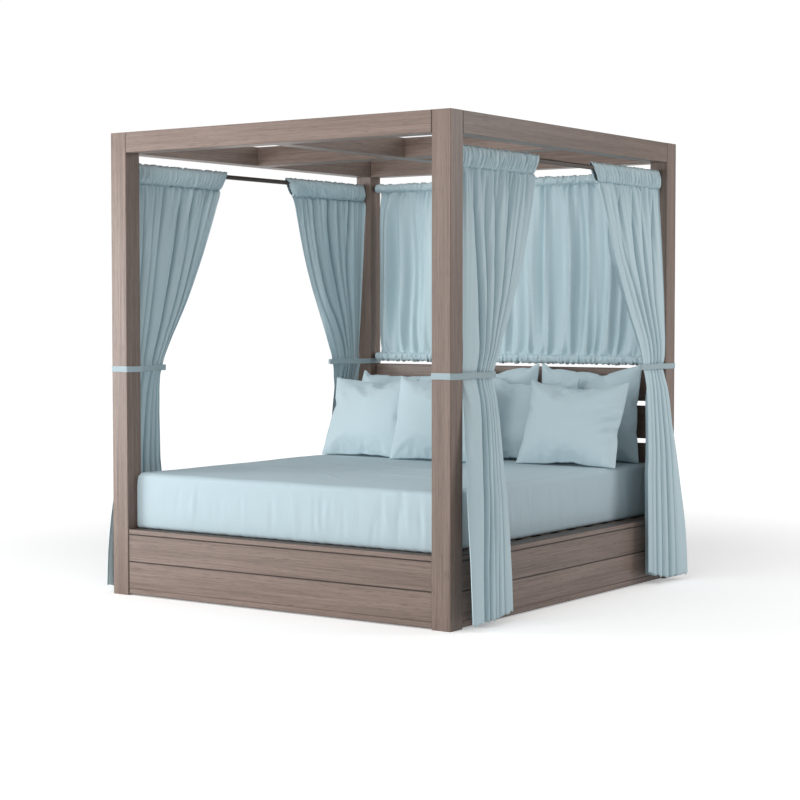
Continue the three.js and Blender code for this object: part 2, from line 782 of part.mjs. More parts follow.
// One pillow, standing on its lower seam: crowned faces, with the sides drawn in between the corners
function pillow_geometry(width, height) {
  const rows = [];
  for (let i = 0; i <= pillow_cells; i += 1) {
    const v = Math.sin((Math.PI / 2) * ((2 * i) / pillow_cells - 1));
    const row = [];
    for (let j = 0; j <= pillow_cells; j += 1) {
      const u = Math.sin((Math.PI / 2) * ((2 * j) / pillow_cells - 1));
      const x = (width / 2) * u * (1 - pillow_side_draw_share * (1 - v * v));
      const z = (height / 2) * v * (1 - pillow_side_draw_share * (1 - u * u));
      const crown = Math.pow((1 - u * u) * (1 - v * v), pillow_crown_power_share);
      row.push([x, (pillow_thickness / 2) * crown, z]);
    }
    rows.push(row);
  }
  const positions = [];
  const faces = [];
  const index = new Map();
  const vertex = (i, j, side) => {
    const on_seam = i === 0 || j === 0 || i === pillow_cells || j === pillow_cells;
    const key = `${i},${j},${on_seam ? 0 : side}`;
    if (!index.has(key)) {
      const [x, y, z] = rows[i][j];
      index.set(key, positions.length / 3);
      positions.push(x, side * y, z);
    }
    return index.get(key);
  };
  for (const side of [-1, 1]) {
    for (let i = 0; i < pillow_cells; i += 1) {
      for (let j = 0; j < pillow_cells; j += 1) {
        const [a, b] = [vertex(i, j, side), vertex(i, j + 1, side)];
        const [c, d] = [vertex(i + 1, j + 1, side), vertex(i + 1, j, side)];
        const split = (i < pillow_cells / 2) === (j < pillow_cells / 2);
        const pair = split ? [a, b, d, b, c, d] : [a, b, c, a, c, d];
        for (let k = 0; k < pair.length; k += 3) {
          const face = [pair[k], pair[k + 1], pair[k + 2]];
          faces.push(...(side < 0 ? face : face.reverse()));
        }
      }
    }
  }
  return facing_out(positions, faces);
}

// The pillow's foot is flattened where it stands on the mattress
for (const { name, kind, across_share, head_share, lean } of pillows) {
  const width = kind === "back" ? back_pillow_width : front_pillow_width;
  const height = kind === "back" ? back_pillow_height : front_pillow_height;
  const pillow = pillow_geometry(width, height).translate(0, 0, height / 2);
  pillow.rotateX(-THREE.MathUtils.degToRad(lean));
  pillow.computeBoundingBox();
  const seat = mattress_top + fit_gap;
  const lift = seat - pillow.boundingBox.min.z - pillow_flat_depth;
  pillow.translate(width * across_share, mattress_head_y - pillow_thickness * head_share, lift);
  const position = pillow.attributes.position;
  for (let k = 0; k < position.count; k += 1) {
    position.setZ(k, Math.max(position.getZ(k), seat));
  }
  add_piece(name, pillow, pillow_cloth());
}

export default daybed;
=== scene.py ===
# Outdoor daybed with a four-post canopy frame, dressed in stained wood and pale blue cloth.
# Metres. X runs across the foot side, Y from the foot to the headboard, Z up from the ground.

import json
import math

import bpy
import numpy as np
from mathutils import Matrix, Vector


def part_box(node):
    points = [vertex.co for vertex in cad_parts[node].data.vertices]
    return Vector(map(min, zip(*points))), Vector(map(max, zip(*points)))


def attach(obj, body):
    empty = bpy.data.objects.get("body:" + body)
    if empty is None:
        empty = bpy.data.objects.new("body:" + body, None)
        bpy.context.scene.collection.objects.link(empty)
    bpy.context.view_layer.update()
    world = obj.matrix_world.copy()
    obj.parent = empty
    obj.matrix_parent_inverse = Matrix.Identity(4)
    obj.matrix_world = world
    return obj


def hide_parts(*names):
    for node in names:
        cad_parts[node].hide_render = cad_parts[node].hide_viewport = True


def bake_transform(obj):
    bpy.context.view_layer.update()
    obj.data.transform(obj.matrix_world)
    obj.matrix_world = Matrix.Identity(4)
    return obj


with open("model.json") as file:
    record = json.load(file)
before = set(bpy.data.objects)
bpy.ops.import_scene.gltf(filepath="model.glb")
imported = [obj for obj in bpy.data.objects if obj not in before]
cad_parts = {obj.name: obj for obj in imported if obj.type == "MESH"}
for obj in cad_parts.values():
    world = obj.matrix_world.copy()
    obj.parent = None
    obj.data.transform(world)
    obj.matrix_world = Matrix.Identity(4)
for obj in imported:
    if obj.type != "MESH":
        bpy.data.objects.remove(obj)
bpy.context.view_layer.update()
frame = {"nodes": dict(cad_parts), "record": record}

# Camera
# It stands off the right front corner, a little below the middle of the posts, as the photograph does.
camera_place = (5.8165, -8.3373, 1.4684)
camera_turn = 0.61032
camera_tip = 0.04599
camera_lens_mm = 84.97
camera_sensor_mm = 36.0

camera_data = bpy.data.cameras.new("camera")
camera_data.lens = camera_lens_mm
camera_data.sensor_width = camera_sensor_mm
camera = bpy.data.objects.new("camera", camera_data)
camera.location = camera_place
camera.rotation_euler = (math.pi / 2 - camera_tip, 0, camera_turn)
bpy.context.scene.collection.objects.link(camera)
bpy.context.scene.camera = camera

# Stained wood
# Posts, roof members, headboard boards and base boards are planed softwood under a matt grey-brown stain.
# The grain runs along each member, and each one is cut from another part of the pattern.
wood_pale = (0.288, 0.214, 0.180, 1)
wood_deep = (0.108, 0.074, 0.059, 1)
wood_tone_spread = 0.07
# Noise of each layer of the grain: cells per metre along and across, detail, roughness and distortion.
grain_layers = {
    "bands": (0.7, 30, 3, 0.5, 0.4),
    "streaks": (2.6, 210, 5, 0.62, 0.2),
    "fibres": (16, 760, 3, 0.6, 0.0),
    "pores": (13, 270, 2, 0.5, 0.0),
    "flecks": (8, 300, 2, 0.5, 0.0),
}
grain_ramps = {"bands": (0.3, 0.7), "streaks": (0.28, 0.72), "pores": (0.56, 0.68), "flecks": (0.60, 0.74)}
# The turn that lays the grain along each axis of the bed.
grain_turns = {0: (0, 0, 0), 1: (0, 0, -math.pi / 2), 2: (0, math.pi / 2, 0)}
# Painted shade: the dark lines in the gaps of shut joints and in routed grooves are painted into the colour.
joint_shade_colour = (0.022, 0.015, 0.012, 1)
joint_shade_strength = 0.72
joint_shade_reach = 0.0045
joint_shade_fade = (0.0004, 0.0016)
routed_skin = 0.0002


def node_group(name, inputs, outputs):
    """An empty shader group with its input and output nodes. An input is a label, a kind and a value or
    None, and an output is a label and a kind."""
    group = bpy.data.node_groups.new(name, "ShaderNodeTree")
    for label, kind, value in inputs:
        socket = group.interface.new_socket(label, in_out="INPUT", socket_type="NodeSocket" + kind)
        if value is not None:
            socket.default_value = value
    for label, kind in outputs:
        group.interface.new_socket(label, in_out="OUTPUT", socket_type="NodeSocket" + kind)
    return group, group.nodes.new("NodeGroupInput"), group.nodes.new("NodeGroupOutput")


def wire(tree, node, sources):
    """Wires each socket of the node to its source, or sets it where the source is a value."""
    for socket, source in sources.items():
        if isinstance(source, bpy.types.NodeSocket):
            tree.links.new(source, node.inputs[socket])
        else:
            node.inputs[socket].default_value = source


def add_node(tree, kind, sources=None, **settings):
    """A node with its settings, and its sockets wired or set."""
    node = tree.nodes.new(kind)
    for name, value in settings.items():
        setattr(node, name, value)
    wire(tree, node, sources or {})
    return node


def maths(tree, operation, *values):
    """What a Math node makes of sockets and numbers."""
    return add_node(tree, "ShaderNodeMath", dict(enumerate(values)), operation=operation).outputs[0]


def vector_maths(tree, operation, *values):
    """What a Vector Math node makes of sockets and vectors."""
    return add_node(tree, "ShaderNodeVectorMath", dict(enumerate(values)), operation=operation).outputs[0]


def mixed(tree, share, first, second):
    """The first colour going to the second by the share."""
    sources = {"Factor": share, 6: first, 7: second}
    return add_node(tree, "ShaderNodeMix", sources, data_type="RGBA").outputs[2]


def bumped(tree, height, strength, distance):
    """The normal of a surface with that relief."""
    sources = {"Height": height, "Strength": strength, "Distance": distance}
    return add_node(tree, "ShaderNodeBump", sources).outputs[0]


def noise(tree, vector, scale, detail, **settings):
    """Noise between 0 and 1, whose cells are 1/scale wide."""
    sources = {"Vector": vector, "Scale": scale, "Detail": detail, **settings}
    return add_node(tree, "ShaderNodeTexNoise", sources).outputs["Fac"]


def stretched_noise(tree, vector, along, across, detail, roughness, distortion):
    """Noise drawn out along X: its cells are 1/along long and 1/across wide, in metres."""
    spread = vector_maths(tree, "MULTIPLY", vector, (along, across, across))
    return noise(tree, spread, 1.0, detail, Roughness=roughness, Distortion=distortion)


def ramp(tree, value, low, high):
    """The value spread from low..high to 0..1, and held there outside."""
    sources = {"Value": value, "From Min": low, "From Max": high}
    return add_node(tree, "ShaderNodeMapRange", sources, interpolation_type="SMOOTHSTEP").outputs[0]


def make_grain_group():
    """Growth bands, finer streaks and fibres weighed into one share from Deep to Pale, with short dark
    pores and pale flecks over it. Streaks are a little smoother, and pores lie deeper."""
    group, given, made = node_group(
        "stained_grain",
        [("Vector", "Vector", None), ("Pale", "Color", wood_pale), ("Deep", "Color", wood_deep)],
        [("Color", "Color"), ("Roughness", "Float"), ("Height", "Float")],
    )
    vector, pale, deep = (given.outputs[label] for label in ("Vector", "Pale", "Deep"))
    layer = {name: stretched_noise(group, vector, *grain) for name, grain in grain_layers.items()}
    for name, (low, high) in grain_ramps.items():
        layer[name] = ramp(group, layer[name], low, high)

    def weighed(value, weight, rest=0.0):
        """The value times its weight, and the rest added."""
        return maths(group, "MULTIPLY_ADD", value, weight, rest)

    share = weighed(layer["bands"], 0.26)
    share = weighed(layer["streaks"], 0.44, share)
    share = weighed(layer["fibres"], 0.30, share)
    colour = mixed(group, share, deep, pale)
    colour = mixed(group, weighed(layer["pores"], 0.60), colour, deep)
    colour = mixed(group, weighed(layer["flecks"], 0.22), colour, pale)
    rough = weighed(layer["streaks"], -0.08, 0.46)
    height = weighed(layer["pores"], -0.5, share)
    wire(group, made, {"Color": colour, "Roughness": rough, "Height": height})
    return group


def make_joint_group():
    """Paints shade on a member close to the ends of its box along the axes marked in Seams, and in what lies
    deeper than a millimetre or so under its faces along the axis marked in Routed: the shade in the gaps of
    shut joints and in lines cut in a face. Each distance has 1 added before it is multiplied by its mark, so
    that unmarked axes fall out."""
    vectors = ("Place", "Low", "High", "Seams", "Routed")
    group, given, made = node_group(
        "joint_shadow",
        [("Color", "Color", (1, 1, 1, 1))] + [(label, "Vector", None) for label in vectors],
        [("Color", "Color")],
    )
    place, low, high, seams, routed = (given.outputs[label] for label in vectors)
    from_low = vector_maths(group, "SUBTRACT", place, low)
    from_high = vector_maths(group, "SUBTRACT", high, place)
    nearest = vector_maths(group, "MINIMUM", from_low, from_high)
    near = vector_maths(group, "SUBTRACT", (1 + joint_shade_reach,) * 3, nearest)
    deep = vector_maths(group, "ADD", nearest, (1 - routed_skin,) * 3)
    marks = []
    for distance, marked in ((near, seams), (deep, routed)):
        chosen = vector_maths(group, "MULTIPLY", distance, marked)
        axes = add_node(group, "ShaderNodeSeparateXYZ", {0: chosen}).outputs
        most = maths(group, "MAXIMUM", maths(group, "MAXIMUM", axes[0], axes[1]), axes[2])
        marks.append(ramp(group, most, 1 + joint_shade_fade[0], 1 + joint_shade_fade[1]))
    share = maths(group, "MULTIPLY", maths(group, "MAXIMUM", *marks), joint_shade_strength)
    wire(group, made, {"Color": mixed(group, share, given.outputs["Color"], joint_shade_colour)})
    return group


grain_group = make_grain_group()
joint_group = make_joint_group()


def new_material(name):
    """A material with a node tree, the tree and its Principled shader."""
    material = bpy.data.materials.new(name)
    material.use_nodes = True
    return material, material.node_tree, material.node_tree.nodes["Principled BSDF"]


def scaled(colour, factor):
    """The colour made darker or lighter."""
    return tuple(factor * c for c in colour[:3]) + (1,)


def grained_wood(name, axis, seed, pale, deep, relief=0.35, joints=None):
    """Wood whose grain runs along one axis of the bed, shifted by a seeded step so that no two members
    match. Joints is the low and high corner, seam axes and routed axis for the painted shade lines."""
    material, tree, shader = new_material(name)
    rng = np.random.default_rng(seed)
    tone = rng.uniform(1 - wood_tone_spread, 1 + wood_tone_spread)
    place = add_node(tree, "ShaderNodeTexCoord").outputs["Object"]
    step = tuple(rng.uniform(-9, 9, 3))
    sources = {"Vector": place, "Location": step, "Rotation": grain_turns[axis]}
    turned = add_node(tree, "ShaderNodeMapping", sources).outputs[0]
    sources = {"Vector": turned, "Pale": scaled(pale, tone), "Deep": scaled(deep, tone)}
    grain = add_node(tree, "ShaderNodeGroup", sources, node_tree=grain_group).outputs
    colour = grain["Color"]
    if joints:
        sources = dict(zip(("Low", "High", "Seams", "Routed"), joints), Place=place, Color=colour)
        colour = add_node(tree, "ShaderNodeGroup", sources, node_tree=joint_group).outputs["Color"]
    normal = bumped(tree, grain["Height"], relief, 0.0006)
    wire(tree, shader, {"Base Color": colour, "Roughness": grain["Roughness"], "Normal": normal})
    shader.inputs["Specular IOR Level"].default_value = 0.42
    return material


def longest_axis(name):
    """The axis along which the member is longest, which is the way its grain runs."""
    low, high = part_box(name)
    return int(np.argmax(np.array(high) - np.array(low)))


def visible_joints(name):
    """Where a member of the base, headboard or roof meets its neighbours: its box cut off at the posts'
    inner faces. Boards show painted shade lines at their ends and long edges, and beams at their ends."""
    if not name.startswith(("base_", "headboard_", "roof_beam_")):
        return None
    low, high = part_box(name)
    inner = (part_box("post_front_right")[0].x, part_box("post_back_right")[0].y, math.inf)
    low = tuple(max(low[k], -inner[k]) for k in range(3))
    high = tuple(min(high[k], inner[k]) for k in range(3))
    thin, middle, long = sorted(range(3), key=lambda k: high[k] - low[k])
    seams = [0, 0, 0]
    seams[long] = 1
    if not name.startswith("roof_beam_"):
        seams[middle] = 1
    routed = [0, 0, 0]
    if name.endswith(("_upper_board", "_lower_board")):
        routed[thin] = 1
    return low, high, seams, routed


def finish_nodes(names, make):
    """Gives each named CAD node the material that make(name) returns."""
    for name in names:
        mesh = frame["nodes"][name].data
        mesh.materials.clear()
        mesh.materials.append(make(name))


def stained(name):
    """The stained wood of one member, with its place in the pattern by its place in the list."""
    seed = 100 + stained_members.index(name)
    joints = visible_joints(name)
    return grained_wood("stained_" + name, longest_axis(name), seed, wood_pale, wood_deep, joints=joints)


record_slots = {part["node"]: part["material_slot"] for part in frame["record"]["subparts"]}
stained_members = sorted(n for n, s in record_slots.items() if s == "stained_wood")
finish_nodes(stained_members, stained)

# Inner timber
# The ledgers, centre beam, legs and slats are sawn softwood under the same stain, coloured darker as
# painted shade, so that nothing pale shows in the gap beside the mattress.
inner_pale = (0.150, 0.108, 0.086, 1)
inner_deep = (0.070, 0.048, 0.038, 1)
inner_relief = 0.8


def sawn(name):
    """The sawn wood of one inner member. The slats lie across the bed, while their deck runs along it."""
    axis = 0 if name == "slat_deck" else longest_axis(name)
    seed = 300 + inner_members.index(name)
    return grained_wood("sawn_" + name, axis, seed, inner_pale, inner_deep, inner_relief)


inner_members = sorted(n for n, s in record_slots.items() if s == "inner_wood")
finish_nodes(inner_members, sawn)

# Curtain rods
# Four one-inch steel tubes, powder coated in satin dark bronze, stand between the posts.
rod_colour = (0.052, 0.040, 0.034, 1)


def powder_coat(name):
    """A satin coat, clouded a little lighter, with the faint orange peel of baked powder."""
    material, tree, shader = new_material(name)
    place = add_node(tree, "ShaderNodeTexCoord").outputs["Object"]
    tint = mixed(tree, noise(tree, place, 14.0, 3.0), rod_colour, scaled(rod_colour, 1.5))
    peel = bumped(tree, noise(tree, place, 900.0, 2.0), 0.25, 0.0002)
    wire(tree, shader, {"Base Color": tint, "Normal": peel, "Roughness": 0.42, "Metallic": 0.35})
    return material


rod_coat = powder_coat("bronze_powder_coat")
finish_nodes([n for n, s in record_slots.items() if s == "rod_metal"], lambda name: rod_coat)

# Back curtain
# A flat panel of curtain cloth, gathered on the two back rods by a frilled pocket along its top and bottom.
# Its cut is nearly one and a half times as wide as the space, so it hangs in soft upright folds.
cloth_pale = (0.562, 0.696, 0.742, 1)
cloth_deep = (0.506, 0.641, 0.689, 1)
# Colour of the painted shade deep in the side curtains' folds.
cloth_painted_shade = (0.235, 0.330, 0.375, 1)
cloth_thickness = 0.0014
curtain_thread_pitch = 0.0016
curtain_sheen = 0.05
back_cut_width = 2.75
back_side_draw = 0.024
back_fold_depth = 0.0260
back_fold_count = 13
back_small_fold_depth = 0.0075
back_small_fold_count = 27
back_upper_depth = 0.0150
back_foot_depth = 0.0155
back_crimp_depth = 0.0045
pocket_frill = 0.0255
pocket_foot = 0.020
pocket_play = 0.0018
pocket_swell = 0.0072
pocket_scallop = 0.0070
pocket_crimp = 0.0030
shut_seam = 5e-5


def make_weave_group():
    """Plain weave: threads that cross over and under each other at one pitch, as a product of two sines,
    with thicker threads here and there, as a product of two drawn-out noises."""
    group, given, made = node_group(
        "plain_weave",
        [("Vector", "Vector", None), ("Pitch", "Float", curtain_thread_pitch)],
        [("Height", "Float"), ("Slub", "Float")],
    )
    vector = given.outputs["Vector"]
    parts = add_node(group, "ShaderNodeSeparateXYZ", {0: vector}).outputs
    waves = []
    for axis in ("X", "Y"):
        turns = maths(group, "DIVIDE", parts[axis], given.outputs["Pitch"])
        waves.append(maths(group, "SINE", maths(group, "MULTIPLY", turns, math.pi)))
    height = maths(group, "MULTIPLY_ADD", maths(group, "MULTIPLY", *waves), 0.5, 0.5)
    slubs = []
    for stretch in ((9, 420, 1), (420, 9, 1)):
        slubs.append(noise(group, vector_maths(group, "MULTIPLY", vector, stretch), 1.0, 2.0))
    slub = ramp(group, maths(group, "MULTIPLY", *slubs), 0.10, 0.42)
    wire(group, made, {"Height": height, "Slub": slub})
    return group


weave_group = make_weave_group()


def woven_cloth(name, pale, deep, pitch, sheen, painted_fold_shade=None):
    """Plain-woven cloth on a UV map in metres, from deep to pale by its thick threads and a soft cloud.
    Where a colour of painted fold shade is given, the cloth goes to it by the mesh's attribute of the
    same name, as painted shade for the little light that comes in deep in a fold."""
    material, tree, shader = new_material(name)
    flat = add_node(tree, "ShaderNodeUVMap", uv_map="cloth").outputs[0]
    place = add_node(tree, "ShaderNodeTexCoord").outputs["Object"]
    sources = {"Vector": flat, "Pitch": pitch}
    weave = add_node(tree, "ShaderNodeGroup", sources, node_tree=weave_group).outputs
    share = maths(tree, "MULTIPLY", weave["Slub"], 0.45)
    share = maths(tree, "MULTIPLY_ADD", noise(tree, place, 3.2, 3.0), 0.5, share)
    tint = mixed(tree, share, deep, pale)
    if painted_fold_shade:
        fold_shade_share = add_node(tree, "ShaderNodeAttribute", attribute_name="painted_fold_shade").outputs["Fac"]
        tint = mixed(tree, fold_shade_share, tint, painted_fold_shade)
    normal = bumped(tree, weave["Height"], 0.3, 0.0004)
    wire(tree, shader, {"Base Color": tint, "Normal": normal, "Roughness": 0.86})
    wire(tree, shader, {"Sheen Weight": sheen, "Sheen Roughness": 0.45, "Specular IOR Level": 0.25})
    return material


def cloth_piece(name, grids, material, weld=0.0):
    """Grids of points, rows by columns, as one smooth mesh. Each grid comes with its places on the flat
    cloth, in metres, and weld is the distance within which points of meeting edges become one."""
    points, cuts, quads, count = [], [], [], 0
    for grid, cut in grids:
        rows, columns = grid.shape[:2]
        corner = np.arange(rows * columns).reshape(rows, columns) + count
        ring = [corner[:-1, :-1], corner[:-1, 1:], corner[1:, 1:], corner[1:, :-1]]
        quads.append(np.stack(ring, axis=-1).reshape(-1, 4))
        points.append(grid.reshape(-1, 3))
        cuts.append(cut.reshape(-1, 2))
        count += rows * columns
    points, cuts, quads = (np.concatenate(part) for part in (points, cuts, quads))
    mesh = bpy.data.meshes.new(name)
    mesh.from_pydata(points.tolist(), [], quads.tolist())
    mesh.uv_layers.new(name="cloth")
    mesh.uv_layers["cloth"].data.foreach_set("uv", cuts[quads.ravel()].ravel())
    mesh.polygons.foreach_set("use_smooth", np.ones(len(quads), bool))
    mesh.materials.append(material)
    piece = bpy.data.objects.new(name, mesh)
    bpy.context.scene.collection.objects.link(piece)
    if weld:
        joined = piece.modifiers.new("joined seam", "WELD")
        joined.merge_threshold = weld
    return piece


def thicken(piece):
    """Gives a sheet the cloth's thickness, half to each side."""
    wall = piece.modifiers.new("cloth thickness", "SOLIDIFY")
    wall.thickness = cloth_thickness
    wall.offset = 0.0


def cut_places(rows, columns, width, length):
    """Each point's place on a flat cut of that width and length."""
    across, down = np.meshgrid(np.linspace(0, width, columns), np.linspace(length, 0, rows))
    return np.stack([across, down], axis=-1)


def shares(rows, columns):
    """Two grids that run from 0 to 1, one down the rows and one along the columns."""
    return np.meshgrid(np.linspace(0, 1, rows), np.linspace(0, 1, columns), indexing="ij")


def held(value):
    """The value, but no less than 0 and no more than 1."""
    return np.clip(value, 0, 1)


def uneven(t, seed, pace):
    """A smooth wander between about -1 and 1: a few sines of near paces with seeded phases."""
    terms = 4
    rng = np.random.default_rng(seed)
    paces = pace * rng.uniform(0.55, 1.6, terms)
    phases = rng.uniform(0, 2 * math.pi, terms)
    waves = np.sin(2 * math.pi * paces * np.asarray(t)[..., None] + phases)
    return waves.sum(-1) / math.sqrt(terms)


def fold_row(along, count, seed, narrow=1.0):
    """Folds over 0..1: 1 at a crest and -1 in the valley, which is a power of half one minus the cosine,
    so a higher power makes it narrower. Spacing and height wander, so wide and narrow folds alternate."""
    height = 1 + 0.28 * uneven(along, seed + 1, 0.45 * count)
    turns = count * along + 0.24 * uneven(along, seed, 0.32 * count)
    return height * (1 - 2 * (0.5 - 0.5 * np.cos(2 * math.pi * turns)) ** narrow)


def gathers(along, down, count, seed):
    """Gathers that run down from a seam: creased ridges that lean a little, each stronger at one height."""
    lean = 0.35 * uneven(along, seed, 5) * (down - 0.5)
    lean = lean + 0.10 * np.sin(2 * math.pi * (1.3 * down + 4 * along))
    strength = 0.70 + 0.30 * np.sin(2 * math.pi * (0.5 * down + uneven(along, seed + 5, 0.2 * count)))
    return strength * fold_row(along + lean / count, count, seed, 1.7)


def seam_folds(distance, depth, start, fade):
    """The depth of folds that a seam makes: it grows from the seam and fades, both by a power of e."""
    return depth * (1 - np.exp(-distance / start)) * np.exp(-distance / fade)


def pinch(distance, reach):
    """1 at the seam, falling to 0 within the reach as a bell does."""
    return np.exp(-np.square(distance / reach))


def box_middle(name):
    """The middle of a CAD node's box."""
    low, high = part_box(name)
    return (low + high) / 2


curtain_cloth = woven_cloth(
    "curtain_cloth", cloth_pale, cloth_deep, curtain_thread_pitch, curtain_sheen, cloth_painted_shade
)
upper_rod = box_middle("rod_back_upper")
lower_rod = box_middle("rod_back_lower")
rod_radius = (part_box("rod_back_upper")[1].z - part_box("rod_back_upper")[0].z) / 2
back_seams = (upper_rod.z - pocket_foot, lower_rod.z + pocket_foot)
back_half_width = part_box("back_curtain")[1].x


def back_panel():
    """Each level is a row of broad folds. Near both seams narrower gathers start, which fade away from the
    seam, and the sides are drawn in there."""
    rows, columns = 104, 430
    down, along = shares(rows, columns)
    down = 0.5 - 0.5 * np.cos(math.pi * down)
    z = back_seams[0] + (back_seams[1] - back_seams[0]) * down
    from_top = back_seams[0] - z
    from_foot = z - back_seams[1]
    seam = np.minimum(from_top, from_foot)
    half = back_half_width - back_side_draw * np.exp(-((seam / 0.085) ** 1.5))
    drift = along + 0.008 * uneven(down, 5, 0.8) * np.sin(3 * math.pi * along)
    broad = back_fold_depth * (1 - np.exp(-seam / 0.14)) * fold_row(drift, back_fold_count, 21, 1.25)
    small = back_small_fold_depth * (1 - np.exp(-seam / 0.10))
    broad += small * fold_row(drift, back_small_fold_count, 25, 1.5)
    upper = seam_folds(from_top, back_upper_depth, 0.012, 0.15) * fold_row(along, 27, 31, 1.7)
    foot = seam_folds(from_foot, back_foot_depth, 0.012, 0.19) * fold_row(along, 25, 41, 1.7)
    crimp = back_crimp_depth * pinch(seam, 0.035) * gathers(along, 0.5 + 0 * down, 60, 61)
    y = upper_rod.y + broad + upper + foot + crimp
    points = np.stack([(2 * along - 1) * half, y, z], axis=-1)
    return points, cut_places(rows, columns, back_cut_width, back_seams[0] - back_seams[1])


def rod_pocket(rod_z, up, seed, perimeter):
    """A puffed sleeve round the rod: a loop whose half depth is the rod's radius and a gap that the gathers
    swell and shrink, taller away from the panel, its outer edge scalloped by the same gathers."""
    rows, columns = 29, 760
    turn, along = shares(rows, columns)
    turn = 2 * math.pi * turn
    outward = np.cos(turn)
    sideways = np.sin(turn)
    reach = np.where(outward > 0, pocket_frill, pocket_foot)
    coarse = gathers(along, 0.5 + 0.5 * outward, 50, seed)
    fine = gathers(along, 0.5 + 0.5 * outward, 88, seed + 3)
    puff = np.clip(0.62 * coarse + 0.5 * fine, -1, 1.3)
    depth = rod_radius + pocket_play + pocket_swell * (1 + puff)
    y = upper_rod.y + depth * np.sign(sideways) * np.abs(sideways) ** 0.85
    y += pocket_crimp * outward**2 * fine
    z = rod_z + up * (reach * outward + held(outward) * pocket_scallop * puff)
    points = np.stack([(2 * along - 1) * back_half_width, y, z], axis=-1)
    return points, cut_places(rows, columns, back_cut_width, perimeter)


back_curtain = cloth_piece("back_curtain_panel", [back_panel()], curtain_cloth)
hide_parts("back_curtain")
flat = (back_cut_width, back_seams[0] - back_seams[1])
around_rod = 3.3 * (pocket_frill + pocket_foot) / 2 + 2 * rod_radius
pockets = []
for rod, level, up, seed in (("upper", upper_rod.z, 1, 61), ("lower", lower_rod.z, -1, 71)):
    sleeve = rod_pocket(level, up, seed, around_rod)
    pocket = cloth_piece(f"back_curtain_{rod}_pocket", [sleeve], curtain_cloth, weld=shut_seam)
    pockets.append(pocket)
for piece in [back_curtain] + pockets:
    thicken(piece)
    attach(piece, "frame")

# Side curtain headers
# The top of each side curtain is a wide sleeve, gathered on its rod and stitched along its lower edge.
# The free end is cut aslant, and both ends lie nearly flat.
side_cut_width = 0.98
header_slant = 0.065
header_levels = [0, 0.05, 0.14, 0.28, 0.5, 0.72, 0.89, 0.96, 1]
header_half_depth = [0.0030, 0.0110, 0.0180, 0.0225, 0.0245, 0.0235, 0.0190, 0.0125, 0.0040]
header_gather_count = 24
header_fine_count = 42
header_puff = 0.0125
header_crimp = 0.0030
header_sway = 0.0022
header_top_scallop = 0.0050
header_seam_scallop = 0.0055
header_top_clearance = 0.002

corners = [(end, side) for end in ("front", "back") for side in ("left", "right")]
end_signs = {"front": -1, "back": 1}
side_signs = {"left": -1, "right": 1}
side_rod = box_middle("rod_right")


def side_header(end, side, seed):
    """A puffed sleeve: a loop over the height with a half depth that is small at the top edge and at the
    seam and largest between, changed by each face's gathers. Both faces share the seam's crimps."""
    low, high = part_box(f"curtain_header_{end}_{side}")
    rows, columns = 45, 470
    loop, along = shares(rows, columns)
    loop = 2 * loop
    down = np.where(loop <= 1, loop, 2 - loop)
    face = np.sign(1 - loop)
    top, foot = high.z, low.z
    shut = held(along / 0.07 - 13.3) ** 2 + held(1 - along / 0.05) ** 2
    half = np.interp(down, header_levels, header_half_depth) * (1 - 0.62 * shut)

    def face_gathers(start):
        """Coarse gathers with finer ones on them."""
        coarse = gathers(along, down, header_gather_count, start)
        return 0.62 * coarse + 0.42 * gathers(along, down, header_fine_count, start + 2)

    ruffle = np.where(face > 0, face_gathers(seed), face_gathers(seed + 9))
    crimp = gathers(along, 1.0, header_fine_count, seed + 2)
    between = held(np.sin(math.pi * down)) ** 0.7
    depth = half + header_puff * between * (0.50 + 0.70 * down) * ruffle * (1 - 0.7 * shut)
    sway = header_crimp * crimp * down**2 + header_sway * uneven(along, seed + 11, 5) * down
    length = np.abs(high.y - low.y)
    distance = along * (length - header_slant * down)
    inner = max(abs(low.y), abs(high.y))
    x = side_signs[side] * (side_rod.x + face * depth + sway)
    y = end_signs[end] * (inner - distance)
    z = top - header_top_clearance + (foot - top) * down
    top_gathers = gathers(along, 0.0, header_gather_count, seed)
    z += header_top_scallop * held(1 - down / 0.14) * top_gathers
    z += header_seam_scallop * held(down / 0.1 - 9) * crimp
    return np.stack([x, y, z], axis=-1), cut_places(rows, columns, side_cut_width, 2 * (top - foot))


for index, (end, side) in enumerate(corners):
    name = f"curtain_header_{end}_{side}"
    sleeve = side_header(end, side, 200 + 20 * index)
    header = cloth_piece(name + "_sleeve", [sleeve], curtain_cloth, weld=shut_seam)
    thicken(header)
    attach(header, f"curtain_{end}_{side}")
    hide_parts(name)
    low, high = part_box(name)
    flat = (side_cut_width, 2 * (high.z - low.z))

# Side curtain drops
# Below the sleeve the cloth falls in folds that a tie band draws back and out to the post, and hangs from
# there outside the base, to a hem just off the ground. Its free edge hangs from the sleeve's end.
tie_height = 1.177
